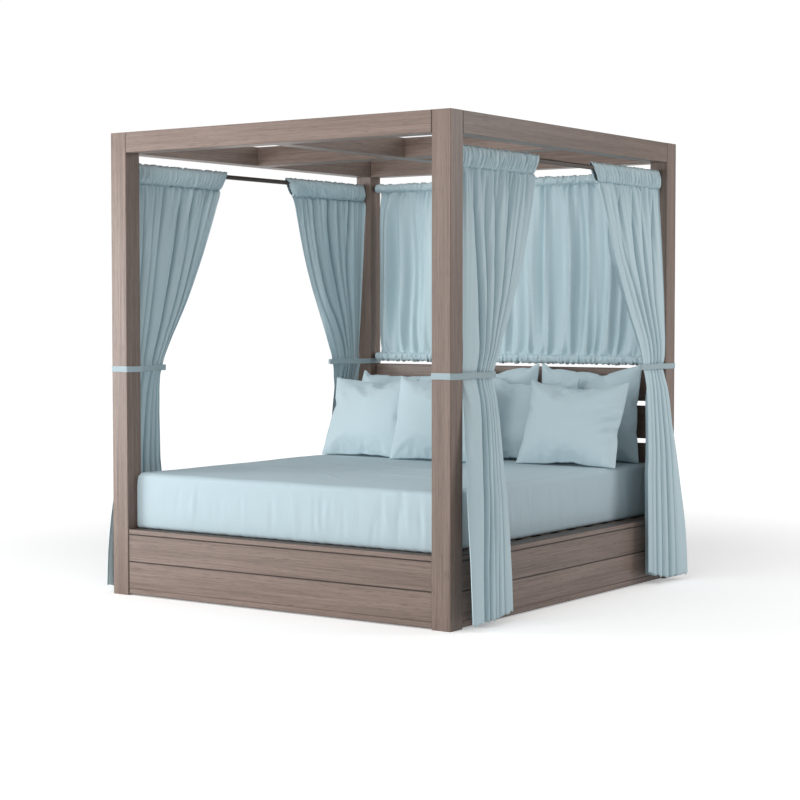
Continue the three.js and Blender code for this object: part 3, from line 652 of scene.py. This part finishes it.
# Points down the edge at the post and down the free edge: height, and distances from the bed's middle
# to the side and to the end.
post_edge = [
    (2.150, 1.005, 1.020), (2.061, 1.006, 1.012), (1.979, 1.010, 1.013), (1.815, 1.018, 1.017),
    (1.650, 1.026, 1.018), (1.485, 1.034, 1.019), (1.320, 1.042, 1.019), (1.226, 1.044, 1.018),
    (1.177, 1.036, 1.016), (1.125, 1.052, 1.018), (1.061, 1.072, 1.023), (0.985, 1.084, 1.030),
    (0.900, 1.094, 1.038), (0.800, 1.106, 1.051), (0.700, 1.115, 1.062), (0.600, 1.123, 1.071),
    (0.500, 1.129, 1.078), (0.400, 1.135, 1.085), (0.300, 1.140, 1.090), (0.200, 1.144, 1.094),
    (0.100, 1.147, 1.094), (0.026, 1.148, 1.094),
]
free_edge = [
    (2.150, 1.013, 0.325), (2.069, 1.018, 0.353), (2.001, 1.022, 0.375), (1.935, 1.025, 0.398),
    (1.870, 1.028, 0.422), (1.803, 1.031, 0.448), (1.737, 1.034, 0.476), (1.671, 1.036, 0.507),
    (1.605, 1.038, 0.538), (1.540, 1.039, 0.572), (1.475, 1.041, 0.608), (1.410, 1.044, 0.646),
    (1.346, 1.048, 0.683), (1.282, 1.051, 0.716), (1.218, 1.050, 0.750), (1.177, 1.048, 0.758),
    (1.145, 1.054, 0.768), (1.068, 1.068, 0.762), (0.940, 1.079, 0.754), (0.810, 1.086, 0.744),
    (0.682, 1.092, 0.735), (0.600, 1.095, 0.721), (0.400, 1.104, 0.708), (0.200, 1.110, 0.700),
    (0.026, 1.114, 0.695),
]
# Height, depth of the valleys and height of the crests.
fold_profile = [
    (2.150, 0.006, 0.003), (2.100, 0.028, 0.010), (2.000, 0.052, 0.014), (1.770, 0.062, 0.015),
    (1.540, 0.060, 0.014), (1.300, 0.047, 0.011), (1.200, 0.028, 0.007), (1.177, 0.020, 0.004),
    (1.150, 0.024, 0.005), (1.000, 0.043, 0.010), (0.600, 0.056, 0.013), (0.300, 0.058, 0.014),
    (0.030, 0.059, 0.015),
]
# Height, reach across and depth of the roll in which the cloth turns in at the post.
turned_in_roll = [
    (1.177, 0.02, 0.010), (1.070, 0.10, 0.020), (0.850, 0.18, 0.024), (0.600, 0.27, 0.020),
    (0.300, 0.34, 0.006), (0.030, 0.36, 0.0),
]
# Where each valley lies at these heights, as a share of the way from the post's edge to the free one.
valley_levels = [2.150, 2.000, 1.770, 1.540, 1.300, 1.177, 1.000, 0.600, 0.300, 0.030]
valley_place_shares = {
    ("front", "right"): [
        [0.22, 0.25, 0.31, 0.41, 0.56, 0.56, 0.55, 0.46, 0.40, 0.38],
        [0.35, 0.38, 0.44, 0.53, 0.65, 0.65, 0.64, 0.56, 0.50, 0.47],
        [0.48, 0.51, 0.57, 0.66, 0.74, 0.74, 0.73, 0.66, 0.60, 0.57],
        [0.68, 0.71, 0.72, 0.79, 0.83, 0.83, 0.82, 0.76, 0.70, 0.66],
        [0.83, 0.84, 0.86, 0.90, 0.92, 0.92, 0.92, 0.89, 0.86, 0.84],
    ],
    ("back", "right"): [
        [0.13, 0.15, 0.19, 0.23, 0.17, 0.17, 0.22, 0.26, 0.28, 0.28],
        [0.34, 0.36, 0.37, 0.36, 0.29, 0.29, 0.38, 0.42, 0.44, 0.44],
        [0.48, 0.50, 0.54, 0.50, 0.43, 0.43, 0.54, 0.58, 0.60, 0.60],
        [0.72, 0.76, 0.79, 0.66, 0.58, 0.58, 0.70, 0.74, 0.76, 0.76],
        [0.88, 0.89, 0.91, 0.84, 0.78, 0.78, 0.86, 0.88, 0.89, 0.89],
    ],
    ("front", "left"): [
        [0.11, 0.12, 0.16, 0.15, 0.15, 0.15, 0.20, 0.22, 0.24, 0.25],
        [0.24, 0.24, 0.26, 0.27, 0.30, 0.30, 0.34, 0.36, 0.38, 0.38],
        [0.35, 0.35, 0.35, 0.39, 0.46, 0.46, 0.48, 0.50, 0.52, 0.52],
        [0.57, 0.58, 0.62, 0.65, 0.74, 0.74, 0.68, 0.66, 0.66, 0.66],
        [0.72, 0.72, 0.76, 0.80, 0.85, 0.85, 0.80, 0.78, 0.78, 0.78],
        [0.86, 0.86, 0.87, 0.91, 0.94, 0.94, 0.90, 0.88, 0.88, 0.88],
    ],
    ("back", "left"): [
        [0.20, 0.22, 0.26, 0.24, 0.19, 0.19, 0.20, 0.22, 0.24, 0.25],
        [0.36, 0.36, 0.37, 0.33, 0.27, 0.27, 0.34, 0.38, 0.40, 0.40],
        [0.50, 0.51, 0.47, 0.42, 0.36, 0.36, 0.48, 0.52, 0.54, 0.54],
        [0.73, 0.74, 0.74, 0.69, 0.46, 0.46, 0.64, 0.70, 0.72, 0.72],
        [0.87, 0.88, 0.88, 0.86, 0.75, 0.75, 0.82, 0.86, 0.86, 0.86],
    ],
}
# How deep each valley is against the profile's depth, above the tie and below it.
valley_depth_shares = {
    ("front", "right"): ([1.2, 0.15, 1.15, 1.2, 0.10], [1.4, 0.12, 0.1, 1.25, 0.10]),
    ("back", "right"): ([0.6, 1.45, 0.6, 1.4, 0.10], [0.2, 1.45, 0.12, 1.1, 0.10]),
    ("front", "left"): ([1.1, 0.5, 1.0, 1.0, 0.5, 0.9], [0.8, 0.5, 0.8, 0.8, 0.5, 0.7]),
    ("back", "left"): ([1.1, 0.5, 1.0, 1.25, 0.15], [1.0, 0.5, 0.9, 0.9, 0.2]),
}
valley_least_width = 0.06
valley_softness = 0.07
edge_softness = 0.03
roll_softness = 0.05
wall_steepness = 0.87
# Folds that start at the seam: number, depth, the lengths over which they grow and fade, and narrowness.
seam_fold_rows = [(12, 0.0125, 0.010, 0.18, 1.7), (23, 0.0085, 0.006, 0.13, 1.8)]
seam_crimp = 0.0030
cloth_ripple = 0.0014
tie_change = 0.15
hem_rise = {"front": 0.026, "back": 0.060}
hem_lift = 0.006
# The back left curtain's free edge hangs nearer its post below the tie and curls out above it.
free_edge_shift = {("back", "left"): 0.045}
free_edge_curl = {("back", "left"): (0.038, 0.050)}
# Painted shade in the side drops' valleys: the valley depth at which it is full, and its largest share.
fold_shade_full_depth = 0.055
fold_shade_most = 0.75


def by_level(level, table, column, softness):
    """The value that one column of a table of falling levels gives at each level. Straight runs join the
    values, and their corners are rounded off by a mean over the softness, weighed by a parabola."""
    levels, values = ([row[k] for row in table[::-1]] for k in (0, column))
    window = np.linspace(-softness, softness, 17)
    weight = 1 - (window / softness) ** 2
    return (np.interp(level[..., None] + window, levels, values) * weight).sum(-1) / weight.sum()


def fold_lay(end, side, level, cloth):
    """For each place on the cloth: the fold it is in, how far over the fold it is, and how far across the
    curtain it lies at each level. Folds lie between valley lines and take cloth by their mean width. Over
    a fold, cloth and place part by a sine, so the crest is broad and both valley walls are steep."""
    table = list(zip(valley_levels, *valley_place_shares[end, side]))
    lines = [by_level(level, table, k + 1, valley_softness) for k in range(len(table[0]) - 1)]
    lines = np.vstack([0 * level] + lines + [0 * level + 1])
    share = np.diff(lines, axis=0).mean(axis=1) + valley_least_width
    starts = np.concatenate([[0], np.cumsum(share) / share.sum()])
    fold = np.clip(np.searchsorted(starts, cloth, side="right") - 1, 0, len(share) - 1)
    turn = (cloth - starts[fold]) / np.diff(starts)[fold]
    travel = turn - wall_steepness * np.sin(2 * math.pi * turn) / (2 * math.pi)
    return fold, turn, lines[fold].T + (lines[fold + 1] - lines[fold]).T * travel


def main_folds(end, side, level, fold, turn, seed):
    """How far the main folds stand out, and the share of painted shade at each place, from 0 to 1, most deep
    in the valleys. The depth is a low crest of one minus cosine, which varies from fold to fold, less a
    power of one plus cosine in the valleys."""
    upper, lower = (np.array([0.0] + depths + [0.0]) for depths in valley_depth_shares[end, side])
    below = held((tie_height - level) / tie_change + 0.5)
    valley = (1 - below) * (upper[fold] + (upper[fold + 1] - upper[fold]) * turn)
    valley = valley + below * (lower[fold] + (lower[fold + 1] - lower[fold]) * turn)
    rng = np.random.default_rng(seed)
    tall = rng.uniform(0.7, 1.3, len(upper) - 1)[fold]
    tilt = rng.uniform(-0.4, 0.4, len(upper) - 1)[fold]
    crest = by_level(level, fold_profile, 2, edge_softness)
    round_turn = 0.5 - 0.5 * np.cos(2 * math.pi * turn)
    depth = crest * (1 - (1 - round_turn) * held(1.2 * valley - 0.15))
    depth = depth + crest * ((tall - 1) * round_turn + tilt * np.sin(2 * math.pi * turn))
    slot = (0.5 + 0.5 * np.cos(2 * math.pi * turn)) ** 1.8
    cut_in = by_level(level, fold_profile, 1, edge_softness)
    # Painted shade: strongest in the narrow bottom of deep valleys.
    painted_fold_shade = fold_shade_most * held(valley * cut_in / fold_shade_full_depth) * slot**1.6
    return depth - cut_in * valley * slot, painted_fold_shade


def side_drop(end, side, seed):
    """A straight line at each level from the post's edge to the free one, with the main folds and, near
    the seam, two rows of smaller ones added across it. Below the tie the cloth turns in at the post and
    the hem rises towards the free edge. Valleys open inwards on the left and outwards on the right."""
    rows, columns = 172, 262
    low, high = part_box(f"curtain_drop_{end}_{side}")
    top, foot = high.z, low.z
    level = np.linspace(top, foot, rows)
    fold, turn, along = fold_lay(end, side, level, np.linspace(0, 1, columns))
    level = np.broadcast_to(level[:, None], along.shape)
    along = along + 0.010 * uneven(level, seed + 4, 0.7) * np.sin(math.pi * along)
    depth, painted_fold_shade = main_folds(end, side, level, fold, turn, seed)
    below_seam = top - level
    for step, (count, most, start, fade, narrow) in enumerate(seam_fold_rows, 1):
        folds = fold_row(along, count, seed + 3 * step, narrow)
        depth = depth + seam_folds(below_seam, most, start, fade) * folds
    crimp = seam_crimp * pinch(below_seam, 0.02) * gathers(along, 1.0, header_fine_count, seed + 2)
    ripple = uneven(along + 0.05 * level, seed + 8, 5) * held(below_seam / 0.2)
    depth = depth + cloth_ripple * ripple
    if side == "left":
        depth = -depth
    post_x, post_y = (by_level(level, post_edge, k, edge_softness) for k in (1, 2))
    free_x, free_y = (by_level(level, free_edge, k, edge_softness) for k in (1, 2))
    below_tie = held((tie_height - level) / tie_change)
    free_y = free_y + free_edge_shift.get((end, side), 0.0) * below_tie
    reach, roll = (by_level(level, turned_in_roll, k, roll_softness) for k in (1, 2))
    turned_in = roll * (level < tie_height) * (1 - held(along / reach) ** 2) ** 2
    y = post_y + (free_y - post_y) * along
    x = post_x + (free_x - post_x) * along + depth + crimp - turned_in
    curl = held(along / 0.3 - 2.3) ** 2 * held(level / 0.25 - tie_height / 0.25)
    curl = curl * held(below_seam / 0.15)
    curl_x, curl_y = free_edge_curl.get((end, side), (0, 0))
    x = x + curl_x * curl
    y = y + curl_y * curl
    hang = held(tie_height - level)
    rise = hem_rise[end] * held((along - 0.45) / 0.55) ** 1.5
    hem_step = hem_lift * fold_row(along, 6.5, seed + 15)
    z = level + (rise + hem_step + hem_lift) * held(hang / 1.1) ** 3
    points = np.stack([side_signs[side] * x, end_signs[end] * y, z], axis=-1)
    return (points, cut_places(rows, columns, side_cut_width, top - foot)), painted_fold_shade


for index, (end, side) in enumerate(corners):
    name = f"curtain_drop_{end}_{side}"
    sheet, painted_fold_shade = side_drop(end, side, 200 + 20 * index)
    drop = cloth_piece(name + "_folds", [sheet], curtain_cloth)
    # The share of painted fold shade, kept on the mesh for the cloth's colour.
    drop.data.attributes.new("painted_fold_shade", "FLOAT", "POINT").data.foreach_set("value", painted_fold_shade.ravel())
    thicken(drop)
    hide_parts(name)
    low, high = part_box(name)
    flat = (side_cut_width, high.z - low.z)
    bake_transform(drop)

# Tie bands
# A flat band of the same cloth, sewn double, passes round the post and slants in to the end of the bundle.
# It lies close to the post, and its colour is the curtain's darkened as painted shade.
band_cut_depth = 0.030
band_thickness = 0.0026
band_end_radius = 0.014
band_post_radius = 0.004
band_bend_radius = 0.006
band_droop = 0.0012
# The curtain's colours are scaled by this share for the band, as painted shade.
band_painted_shade = 0.72
band_thread_pitch = 0.0011


def band_loop(end, side):
    """Straight runs between round corners, swept by a thin section with rounded edges. The corners are the
    bundle's end, the two at the post's far face, and the one where the band leaves its inner face."""
    low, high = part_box(f"tie_band_{end}_{side}")
    inner_x, outer_x = sorted((abs(low.x), abs(high.x)))
    end_y, far_y = sorted((abs(low.y), abs(high.y)))
    near_post = min(abs(v.y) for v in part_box(f"post_{end}_{side}"))
    half = band_thickness / 2
    inner_x, outer_x, end_y, far_y = inner_x + half, outer_x - half, end_y + half, far_y - half
    centres = np.array(
        [
            [outer_x - band_end_radius, end_y + band_end_radius],
            [outer_x - band_post_radius, far_y - band_post_radius],
            [inner_x + band_post_radius, far_y - band_post_radius],
            [inner_x + band_bend_radius, near_post - band_post_radius],
        ]
    )
    radii = np.array([band_end_radius, band_post_radius, band_post_radius, band_bend_radius])
    slant = math.atan2(centres[3, 1] - centres[0, 1], centres[0, 0] - centres[3, 0])
    starts = np.array([slant - math.pi, 0, math.pi / 2, math.pi])
    sweeps = np.array([math.pi - slant, math.pi / 2, math.pi / 2, math.pi / 2 - slant])
    angle = starts[:, None] + sweeps[:, None] * np.linspace(0, 1, 14)
    route = centres[:, None] + radii[:, None, None] * np.stack([np.cos(angle), np.sin(angle)], axis=-1)
    route = route.reshape(-1, 2)
    route = np.vstack([route, route[:1]])
    travel = np.concatenate([[0], np.cumsum(np.linalg.norm(np.diff(route, axis=0), axis=1))])
    rows, columns = 29, 420
    even = np.linspace(0, travel[-1], columns)
    path = np.stack([np.interp(even, travel, route[:, k]) for k in (0, 1)], axis=-1)
    ahead = np.roll(path[:-1], -1, axis=0) - np.roll(path[:-1], 1, axis=0)
    ahead = np.vstack([ahead, ahead[:1]])
    ahead /= np.linalg.norm(ahead, axis=1, keepdims=True)
    outward = np.stack([ahead[:, 1], -ahead[:, 0]], axis=-1)
    turn = np.linspace(0, 2 * math.pi, rows)
    lift = band_cut_depth / 2 * np.sign(np.sin(turn)) * np.abs(np.sin(turn)) ** 0.35
    swell = band_thickness / 2 * np.sign(np.cos(turn)) * np.abs(np.cos(turn)) ** 0.6
    droop = band_droop * uneven(even / travel[-1], 17, 3)
    flat = path[None] + outward[None] * swell[:, None, None]
    z = (low.z + high.z) / 2 + lift[:, None] + droop[None]
    points = np.stack([side_signs[side] * flat[..., 0], end_signs[end] * flat[..., 1], z], axis=-1)
    if side_signs[side] * end_signs[end] < 0:
        points = points[:, ::-1]
    return (points, cut_places(rows, columns, travel[-1], 2 * band_cut_depth)), travel[-1]


band_pale, band_deep = scaled(cloth_pale, band_painted_shade), scaled(cloth_deep, band_painted_shade)
band_cloth = woven_cloth("tie_band_cloth", band_pale, band_deep, band_thread_pitch, curtain_sheen)
for end, side in corners:
    name = f"tie_band_{end}_{side}"
    loop, around = band_loop(end, side)
    band = cloth_piece(name + "_strap", [loop], band_cloth, weld=shut_seam)
    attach(band, "frame")
    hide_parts(name)

# Mattress
# A foam mattress in a fitted sheet of the same blue, pulled tight, with rounded edges and pull marks
# on its foot face and sides and a few creases on top.
sheet_pale = (0.488, 0.604, 0.652, 1)
sheet_deep = (0.453, 0.570, 0.618, 1)
sheet_thread_pitch = 0.0011
mattress_edge = 0.030
mattress_foot_edge = 0.011
mattress_cell = 0.0125
foot_mark_count = 58
foot_mark_depth = 0.0075
side_mark_count = 46
side_mark_depth = 0.0044
crease_count = 20
crease_height = 0.0120
edge_ripple_height = 0.0010
slack_height = 0.0018
tuck_height = 0.0010
hem_gather = 0.0020
bottom_extra_radius = 0.004
mattress_seam = 4e-4

sheet_cloth = woven_cloth("fitted_sheet_cloth", sheet_pale, sheet_deep, sheet_thread_pitch, 0.06)


def box_grids(half, cell):
    """Six grids of points over the faces of a box, each facing out, with its face's own flat coordinates."""
    grids = []
    for axis in range(3):
        for sign in (-1, 1):
            a, b = (axis + 1) % 3, (axis + 2) % 3
            along_a, along_b = (
                np.linspace(-half[k], half[k], max(2, int(round(2 * half[k] / cell)) + 1)) for k in (a, b)
            )
            u, v = np.meshgrid(along_a, along_b)
            points = np.zeros(u.shape + (3,))
            points[..., axis] = sign * half[axis]
            points[..., a] = u
            points[..., b] = v
            grids.append((points[:, ::sign], np.stack([u, v], axis=-1)[:, ::sign]))
    return grids


def rounded(points, half, radius):
    """The nearest place on a box with rounded edges, which is the inner box's point plus the radius towards
    the given one, and the surface's normal there."""
    core = np.clip(points, -(half - radius), half - radius)
    away = points - core
    normal = away / np.maximum(np.linalg.norm(away, axis=-1, keepdims=True), 1e-9)
    return core + normal * radius, normal


def pull_marks(s, z, length, count, rng):
    """Upright ripples on a face: each a narrow wave across s that fades up and down, leaning a little."""
    total = np.zeros_like(s)
    for _ in range(count):
        place = rng.uniform(-length, length)
        middle = rng.uniform(-0.06, 0.04)
        tall = rng.uniform(0.045, 0.12)
        wide = rng.uniform(0.009, 0.018)
        lean = rng.normal(0, 0.12)
        offset = s - place - lean * (z - middle)
        wave = pinch(offset, wide) * pinch(z - middle, tall) ** 1.2
        total += rng.uniform(0.3, 1.0) * rng.choice([-1, 1]) * wave
    return total


def top_creases(x, y, count, rng):
    """Short creases lying mostly across the bed: narrow waves that fade out along their length."""
    total = np.zeros_like(x)
    for _ in range(count):
        cx, cy = rng.uniform(-0.5, 0.55), rng.uniform(-0.75, 0.35)
        heading = rng.normal(0.35, 0.5)
        along = (x - cx) * math.cos(heading) + (y - cy) * math.sin(heading)
        across = -(x - cx) * math.sin(heading) + (y - cy) * math.cos(heading)
        long, wide = rng.uniform(0.07, 0.20), rng.uniform(0.011, 0.018)
        total += rng.uniform(0.3, 1.0) * pinch(along, long) * pinch(across, wide)
    return total


mattress_low, mattress_high = (np.array(v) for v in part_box("mattress"))
mattress_half = (mattress_high - mattress_low) / 2
mattress_middle = (mattress_high + mattress_low) / 2
sheet_parts = []
for grid, flat in box_grids(mattress_half, mattress_cell):
    level = grid[..., 2:] / mattress_half[2]
    radius = mattress_foot_edge + (mattress_edge - mattress_foot_edge) * held(2.2 * level - 1.2)
    radius = radius + bottom_extra_radius * held(-2.5 * level - 1.5)
    shaped, normal = rounded(grid, mattress_half, radius)
    x, y, z = (shaped[..., k] for k in range(3))
    rng = np.random.default_rng(404)
    foot = foot_mark_depth * pull_marks(x, z, 0.9, foot_mark_count, rng)
    foot = foot * (0.7 + 0.5 * x) * held(-normal[..., 1])
    sides = side_mark_depth * pull_marks(y, z, 1.0, side_mark_count, rng) * np.abs(normal[..., 0])
    creases = crease_height * top_creases(x, y, crease_count, rng) * held(normal[..., 2])
    near_edge = held(1 - np.abs(np.abs(z) / mattress_half[2] - 0.86) * 6)
    edge_ripple = edge_ripple_height * uneven(x + 0.7 * y, 9, 9) * near_edge
    slack = slack_height * uneven(x, 12, 1.3) * uneven(y, 13, 1.1) * held(normal[..., 2])
    near_foot = held(-z / 0.03 - 3.4) * (1 - np.abs(normal[..., 2]))
    tuck = tuck_height * fold_row(0.5 + 0.25 * (x + y), 90, 17, 1.3) * near_foot
    shift = foot + sides + creases + edge_ripple + slack + tuck
    inside = np.minimum(mattress_half[0] - np.abs(x), mattress_half[1] - np.abs(y))
    hem = held(-z / 0.035 - 3.1) * held(1 - inside / 0.03)
    moved = shaped + normal * shift[..., None] + mattress_middle
    moved[..., 2] += hem_gather * hem * (1 + fold_row(0.5 + 0.22 * (x - y), 84, 19, 1.3))
    sheet_parts.append((moved, flat))
mattress = cloth_piece("fitted_mattress", sheet_parts, sheet_cloth, weld=mattress_seam)
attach(mattress, "mattress")
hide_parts("mattress")

# Pillows
# Seven square cushions in plain covers of the same blue, stuffed soft, with sewn edges and pointed corners.
# Each is sewn flat from two squares and blown up by its stuffing, so the sides draw in between the corners.
pillow_pale = (0.572, 0.698, 0.744, 1)
pillow_deep = (0.520, 0.646, 0.696, 1)
pillow_thread_pitch = 0.0013
pillow_cells = 44
pillow_sizes = {"back": (0.612, 0.566), "front": (0.604, 0.506)}
pillow_thickness = 0.140
pillow_leans = {
    "pillow_back_left": 27.0,
    "pillow_back_middle": 7.0,
    "pillow_back_right": 4.0,
    "pillow_front_left": 19.5,
    "pillow_front_centre_left": 14.0,
    "pillow_front_centre_right": 15.0,
    "pillow_front_right": 20.0,
}
pillow_fullness = {"pillow_back_right": 1.07, "pillow_front_right": 1.05}
pillow_shifts = {"pillow_front_right": (0.028, -0.014, 0), "pillow_front_centre_right": (0, -0.009, 0)}
pillow_depth_shares = {"pillow_front_centre_right": 0.86}
pillow_sink = 0.012
pillow_most_swell = 1.12
crush_depth = 0.0150
foot_pull_depth = 0.0042
pillow_seam = 2e-4
stuffing_frames = 26
stuffing_settings = {
    "quality": 6,
    "mass": 0.35,
    "compression_stiffness": 20,
    "shear_stiffness": 12,
    "bending_stiffness": 1.2,
    "tension_damping": 12,
    "compression_damping": 12,
    "shear_damping": 8,
    "bending_damping": 2,
    "air_damping": 2.5,
    "use_pressure": True,
}

pillow_cloth = woven_cloth("pillow_cloth", pillow_pale, pillow_deep, pillow_thread_pitch, 0.06)


def pillow_cover(width, height, seed):
    """Two squares of cloth sewn along their edges, each bulging by a power of the product of two
    parabolas."""
    n = pillow_cells
    side = np.linspace(-1, 1, n + 1)
    u = np.concatenate([side, side[::-1][1:]])
    face = np.concatenate([np.full(n + 1, -1.0), np.full(n, 1.0)])
    v, u_grid = np.meshgrid(side, u, indexing="ij")
    crown = ((1 - u_grid**2) * (1 - v**2)) ** 0.6
    bumps = 1 + 0.25 * uneven(u_grid + 0.4 * v, seed, 1.1) * uneven(v, seed + 1, 0.9)
    start_share, draw = ((0.5, 0.0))
    y = face * crown * bumps * pillow_thickness / 2 * start_share
    x = width / 2 * u_grid * (1 - draw * (1 - v**2))
    z = height / 2 * v * (1 - draw * (1 - u_grid**2))
    cut = np.stack([np.arange(1, len(u) + 1) * width / n + 0 * v, z], axis=-1)
    return np.stack([x, y, z], axis=-1), cut


def mesh_points(piece):
    """The vertices of a mesh as an array."""
    places = np.zeros(len(piece.data.vertices) * 3)
    piece.data.vertices.foreach_get("co", places)
    return places.reshape(-1, 3)


def apply_modifiers(piece):
    """Replaces the piece's mesh by what its modifiers make of it now."""
    graph = bpy.context.evaluated_depsgraph_get()
    mesh = bpy.data.meshes.new_from_object(piece.evaluated_get(graph))
    piece.modifiers.clear()
    piece.data = mesh


def add_stuffing(piece, index):
    """Pressure inside the cover, a little different from pillow to pillow."""
    stuffing = piece.modifiers.new("stuffing", "CLOTH")
    for name, value in stuffing_settings.items():
        setattr(stuffing.settings, name, value)
    stuffing.settings.tension_stiffness = 24 + 3 * (index % 3)
    stuffing.settings.uniform_pressure_force = 3.6 + 0.25 * (index % 4)
    stuffing.settings.effector_weights.gravity = 0
    stuffing.point_cache.frame_start = 1
    stuffing.point_cache.frame_end = stuffing_frames


def keep_outline(piece):
    """Takes the blown-up cover and brings it part of the way back to its flat outline, most at its foot."""
    flat = mesh_points(piece)
    apply_modifiers(piece)
    blown = mesh_points(piece)
    height = np.abs(flat[:, 2]).max()
    hold = 0.38 + 0.30 * held(0.35 - 1.2 * flat[:, 2] / height)
    blown[:, 0] += 0.50 * (flat - blown)[:, 0]
    blown[:, 2] += hold * (flat - blown)[:, 2]
    piece.data.vertices.foreach_set("co", blown.ravel())


def place_pillow(name, places, width, height):
    """The cover's points scaled to the pillow's size, crushed and pulled, leaned back by a turn about X,
    set in the box of its solid, and sunk a little where it stands on the mattress."""
    size = places.max(0) - places.min(0)
    places = places - (places.max(0) + places.min(0)) / 2
    width *= pillow_fullness.get(name, 1.0)
    places *= np.array([width, min(size[1], pillow_thickness * pillow_most_swell), height]) / size
    if name == "pillow_front_right":
        across, up = 2 * places[:, 0] / width, 2 * places[:, 2] / height
        crushed = pinch(across - 0.74, 0.17) * pinch(up - 0.05, 0.40) * held(8 - 8 * across)
        places[:, 1] += crush_depth * crushed * np.sin(22 * up - 7 * across + 3 * up * across)
    places[:, 1] *= pillow_depth_shares.get(name, 1.0)
    across, up = 2 * places[:, 0] / width, 2 * places[:, 2] / height
    pulls = pinch(up + 0.80, 0.13) * uneven(across, 540 + len(name), 5)
    places[:, 1] += foot_pull_depth * pulls * np.sign(places[:, 1])
    lean = math.radians(pillow_leans[name])
    tip = [[1, 0, 0], [0, math.cos(lean), math.sin(lean)], [0, -math.sin(lean), math.cos(lean)]]
    places = places @ np.array(tip).T
    low, high = (np.array(v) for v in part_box(name))
    middle = (low + high) / 2
    places += np.array([middle[0], middle[1], high[2] - places[:, 2].max()])
    places += np.array(pillow_shifts.get(name, (0, 0, 0)))
    sunk = np.clip(low[2] + pillow_sink - places[:, 2], 0, None)
    places[:, 2] += np.where(sunk > 0, sunk - pillow_sink * (1 - np.exp(-sunk / pillow_sink)), 0)
    places[:, 2] = np.maximum(places[:, 2], low[2])
    return places


pillows = {}
for index, name in enumerate(pillow_leans):
    cover = pillow_cover(*pillow_sizes[name.split("_")[1]], 500 + 10 * index)
    pillow = cloth_piece(name + "_cushion", [cover], pillow_cloth, weld=pillow_seam)
    apply_modifiers(pillow)
    pillows[name] = pillow

for index, pillow in enumerate(pillows.values()):
    add_stuffing(pillow, index)
for step in range(1, stuffing_frames + 1):
    bpy.context.scene.frame_set(step)
for pillow in pillows.values():
    keep_outline(pillow)
bpy.context.scene.frame_set(1)

for name, pillow in pillows.items():
    places = place_pillow(name, mesh_points(pillow), *pillow_sizes[name.split("_")[1]])
    pillow.data.vertices.foreach_set("co", places.ravel())
    pillow.data.update()
    smooth = pillow.modifiers.new("smooth", "SUBSURF")
    smooth.levels = smooth.render_levels = 1
    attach(pillow, name)
    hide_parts(name)

# Studio
# A pale floor in a white room, with four soft lights round the bed. The room gives less light than it shows
# to the camera, and the floor glows more towards the horizon, where it meets the white.
floor_half = 30.0
floor_grey = 0.86
floor_glow = 0.05
floor_glow_near = 0.27
floor_glow_far = 0.70
floor_near = 2.0
floor_far = 6.5
base_inside = (0.98, 1.05)
room_light = 0.38
room_shown = 1.02

floor_corners = np.array([(-1, -1, 0), (1, -1, 0), (1, 1, 0), (-1, 1, 0)]) * floor_half
floor_mesh = bpy.data.meshes.new("floor")
floor_mesh.from_pydata(floor_corners.tolist(), [], [(0, 1, 2, 3)])
floor = bpy.data.objects.new("floor", floor_mesh)
bpy.context.scene.collection.objects.link(floor)


def pale_floor():
    """Matt floor with a glow that all rays find and one that only the camera and mirrors see. The second
    goes from near to far by the distance. Inside the base is none, so the gaps between slats stay dark."""
    material, tree, shader = new_material("pale_floor")
    wire(tree, shader, {"Base Color": (floor_grey,) * 3 + (1,), "Emission Color": (1, 1, 1, 1)})
    wire(tree, shader, {"Roughness": 0.9, "Specular IOR Level": 0.0})
    path = add_node(tree, "ShaderNodeLightPath").outputs
    seen = maths(tree, "MAXIMUM", path["Is Camera Ray"], path["Is Glossy Ray"])
    spot = add_node(tree, "ShaderNodeTexCoord").outputs["Object"]
    away = add_node(tree, "ShaderNodeVectorMath", {0: spot}, operation="LENGTH").outputs["Value"]
    lift = ramp(tree, away, floor_near, floor_far)
    lift = maths(tree, "MULTIPLY_ADD", lift, floor_glow_far - floor_glow_near, floor_glow_near)
    glow = maths(tree, "MULTIPLY_ADD", seen, lift, floor_glow)
    from_middle = vector_maths(tree, "ABSOLUTE", spot)
    from_middle = add_node(tree, "ShaderNodeSeparateXYZ", {0: from_middle}).outputs
    beyond = [maths(tree, "GREATER_THAN", from_middle[k], base_inside[k]) for k in (0, 1)]
    glow = maths(tree, "MULTIPLY", glow, maths(tree, "MAXIMUM", *beyond))
    wire(tree, shader, {"Emission Strength": glow})
    return material


floor.data.materials.append(pale_floor())

world = bpy.data.worlds.new("studio")
bpy.context.scene.world = world
world.use_nodes = True
seen = add_node(world.node_tree, "ShaderNodeLightPath").outputs["Is Camera Ray"]
sources = {"Factor": seen, 2: room_light, 3: room_shown}
strength = add_node(world.node_tree, "ShaderNodeMix", sources, data_type="FLOAT").outputs[0]
sky = world.node_tree.nodes["Background"]
wire(world.node_tree, sky, {"Color": (1, 1, 1, 1), "Strength": strength})


def soft_light(name, place, target, size, power):
    """A square area light aimed at a point."""
    data = bpy.data.lights.new(name, "AREA")
    data.size = size
    data.energy = power
    light = bpy.data.objects.new(name, data)
    light.location = place
    direction = Vector([t - p for t, p in zip(target, place)])
    light.rotation_euler = direction.to_track_quat("-Z", "Y").to_euler()
    bpy.context.scene.collection.objects.link(light)


soft_light("key", (-4.3, -4.4, 1.4), (-0.4, -0.4, 1.1), 2.2, 158)
soft_light("skylight", (0.6, -3.5, 6.3), (0.0, 0.6, 0.8), 4.0, 115)
soft_light("front", (-1.0, -8.5, 2.4), (0.2, 0.0, 1.0), 3.0, 165)
soft_light("side", (4.8, 2.8, 3.1), (1.0, 0.2, 1.1), 2.1, 82)
bpy.context.scene.view_settings.view_transform = "Standard"
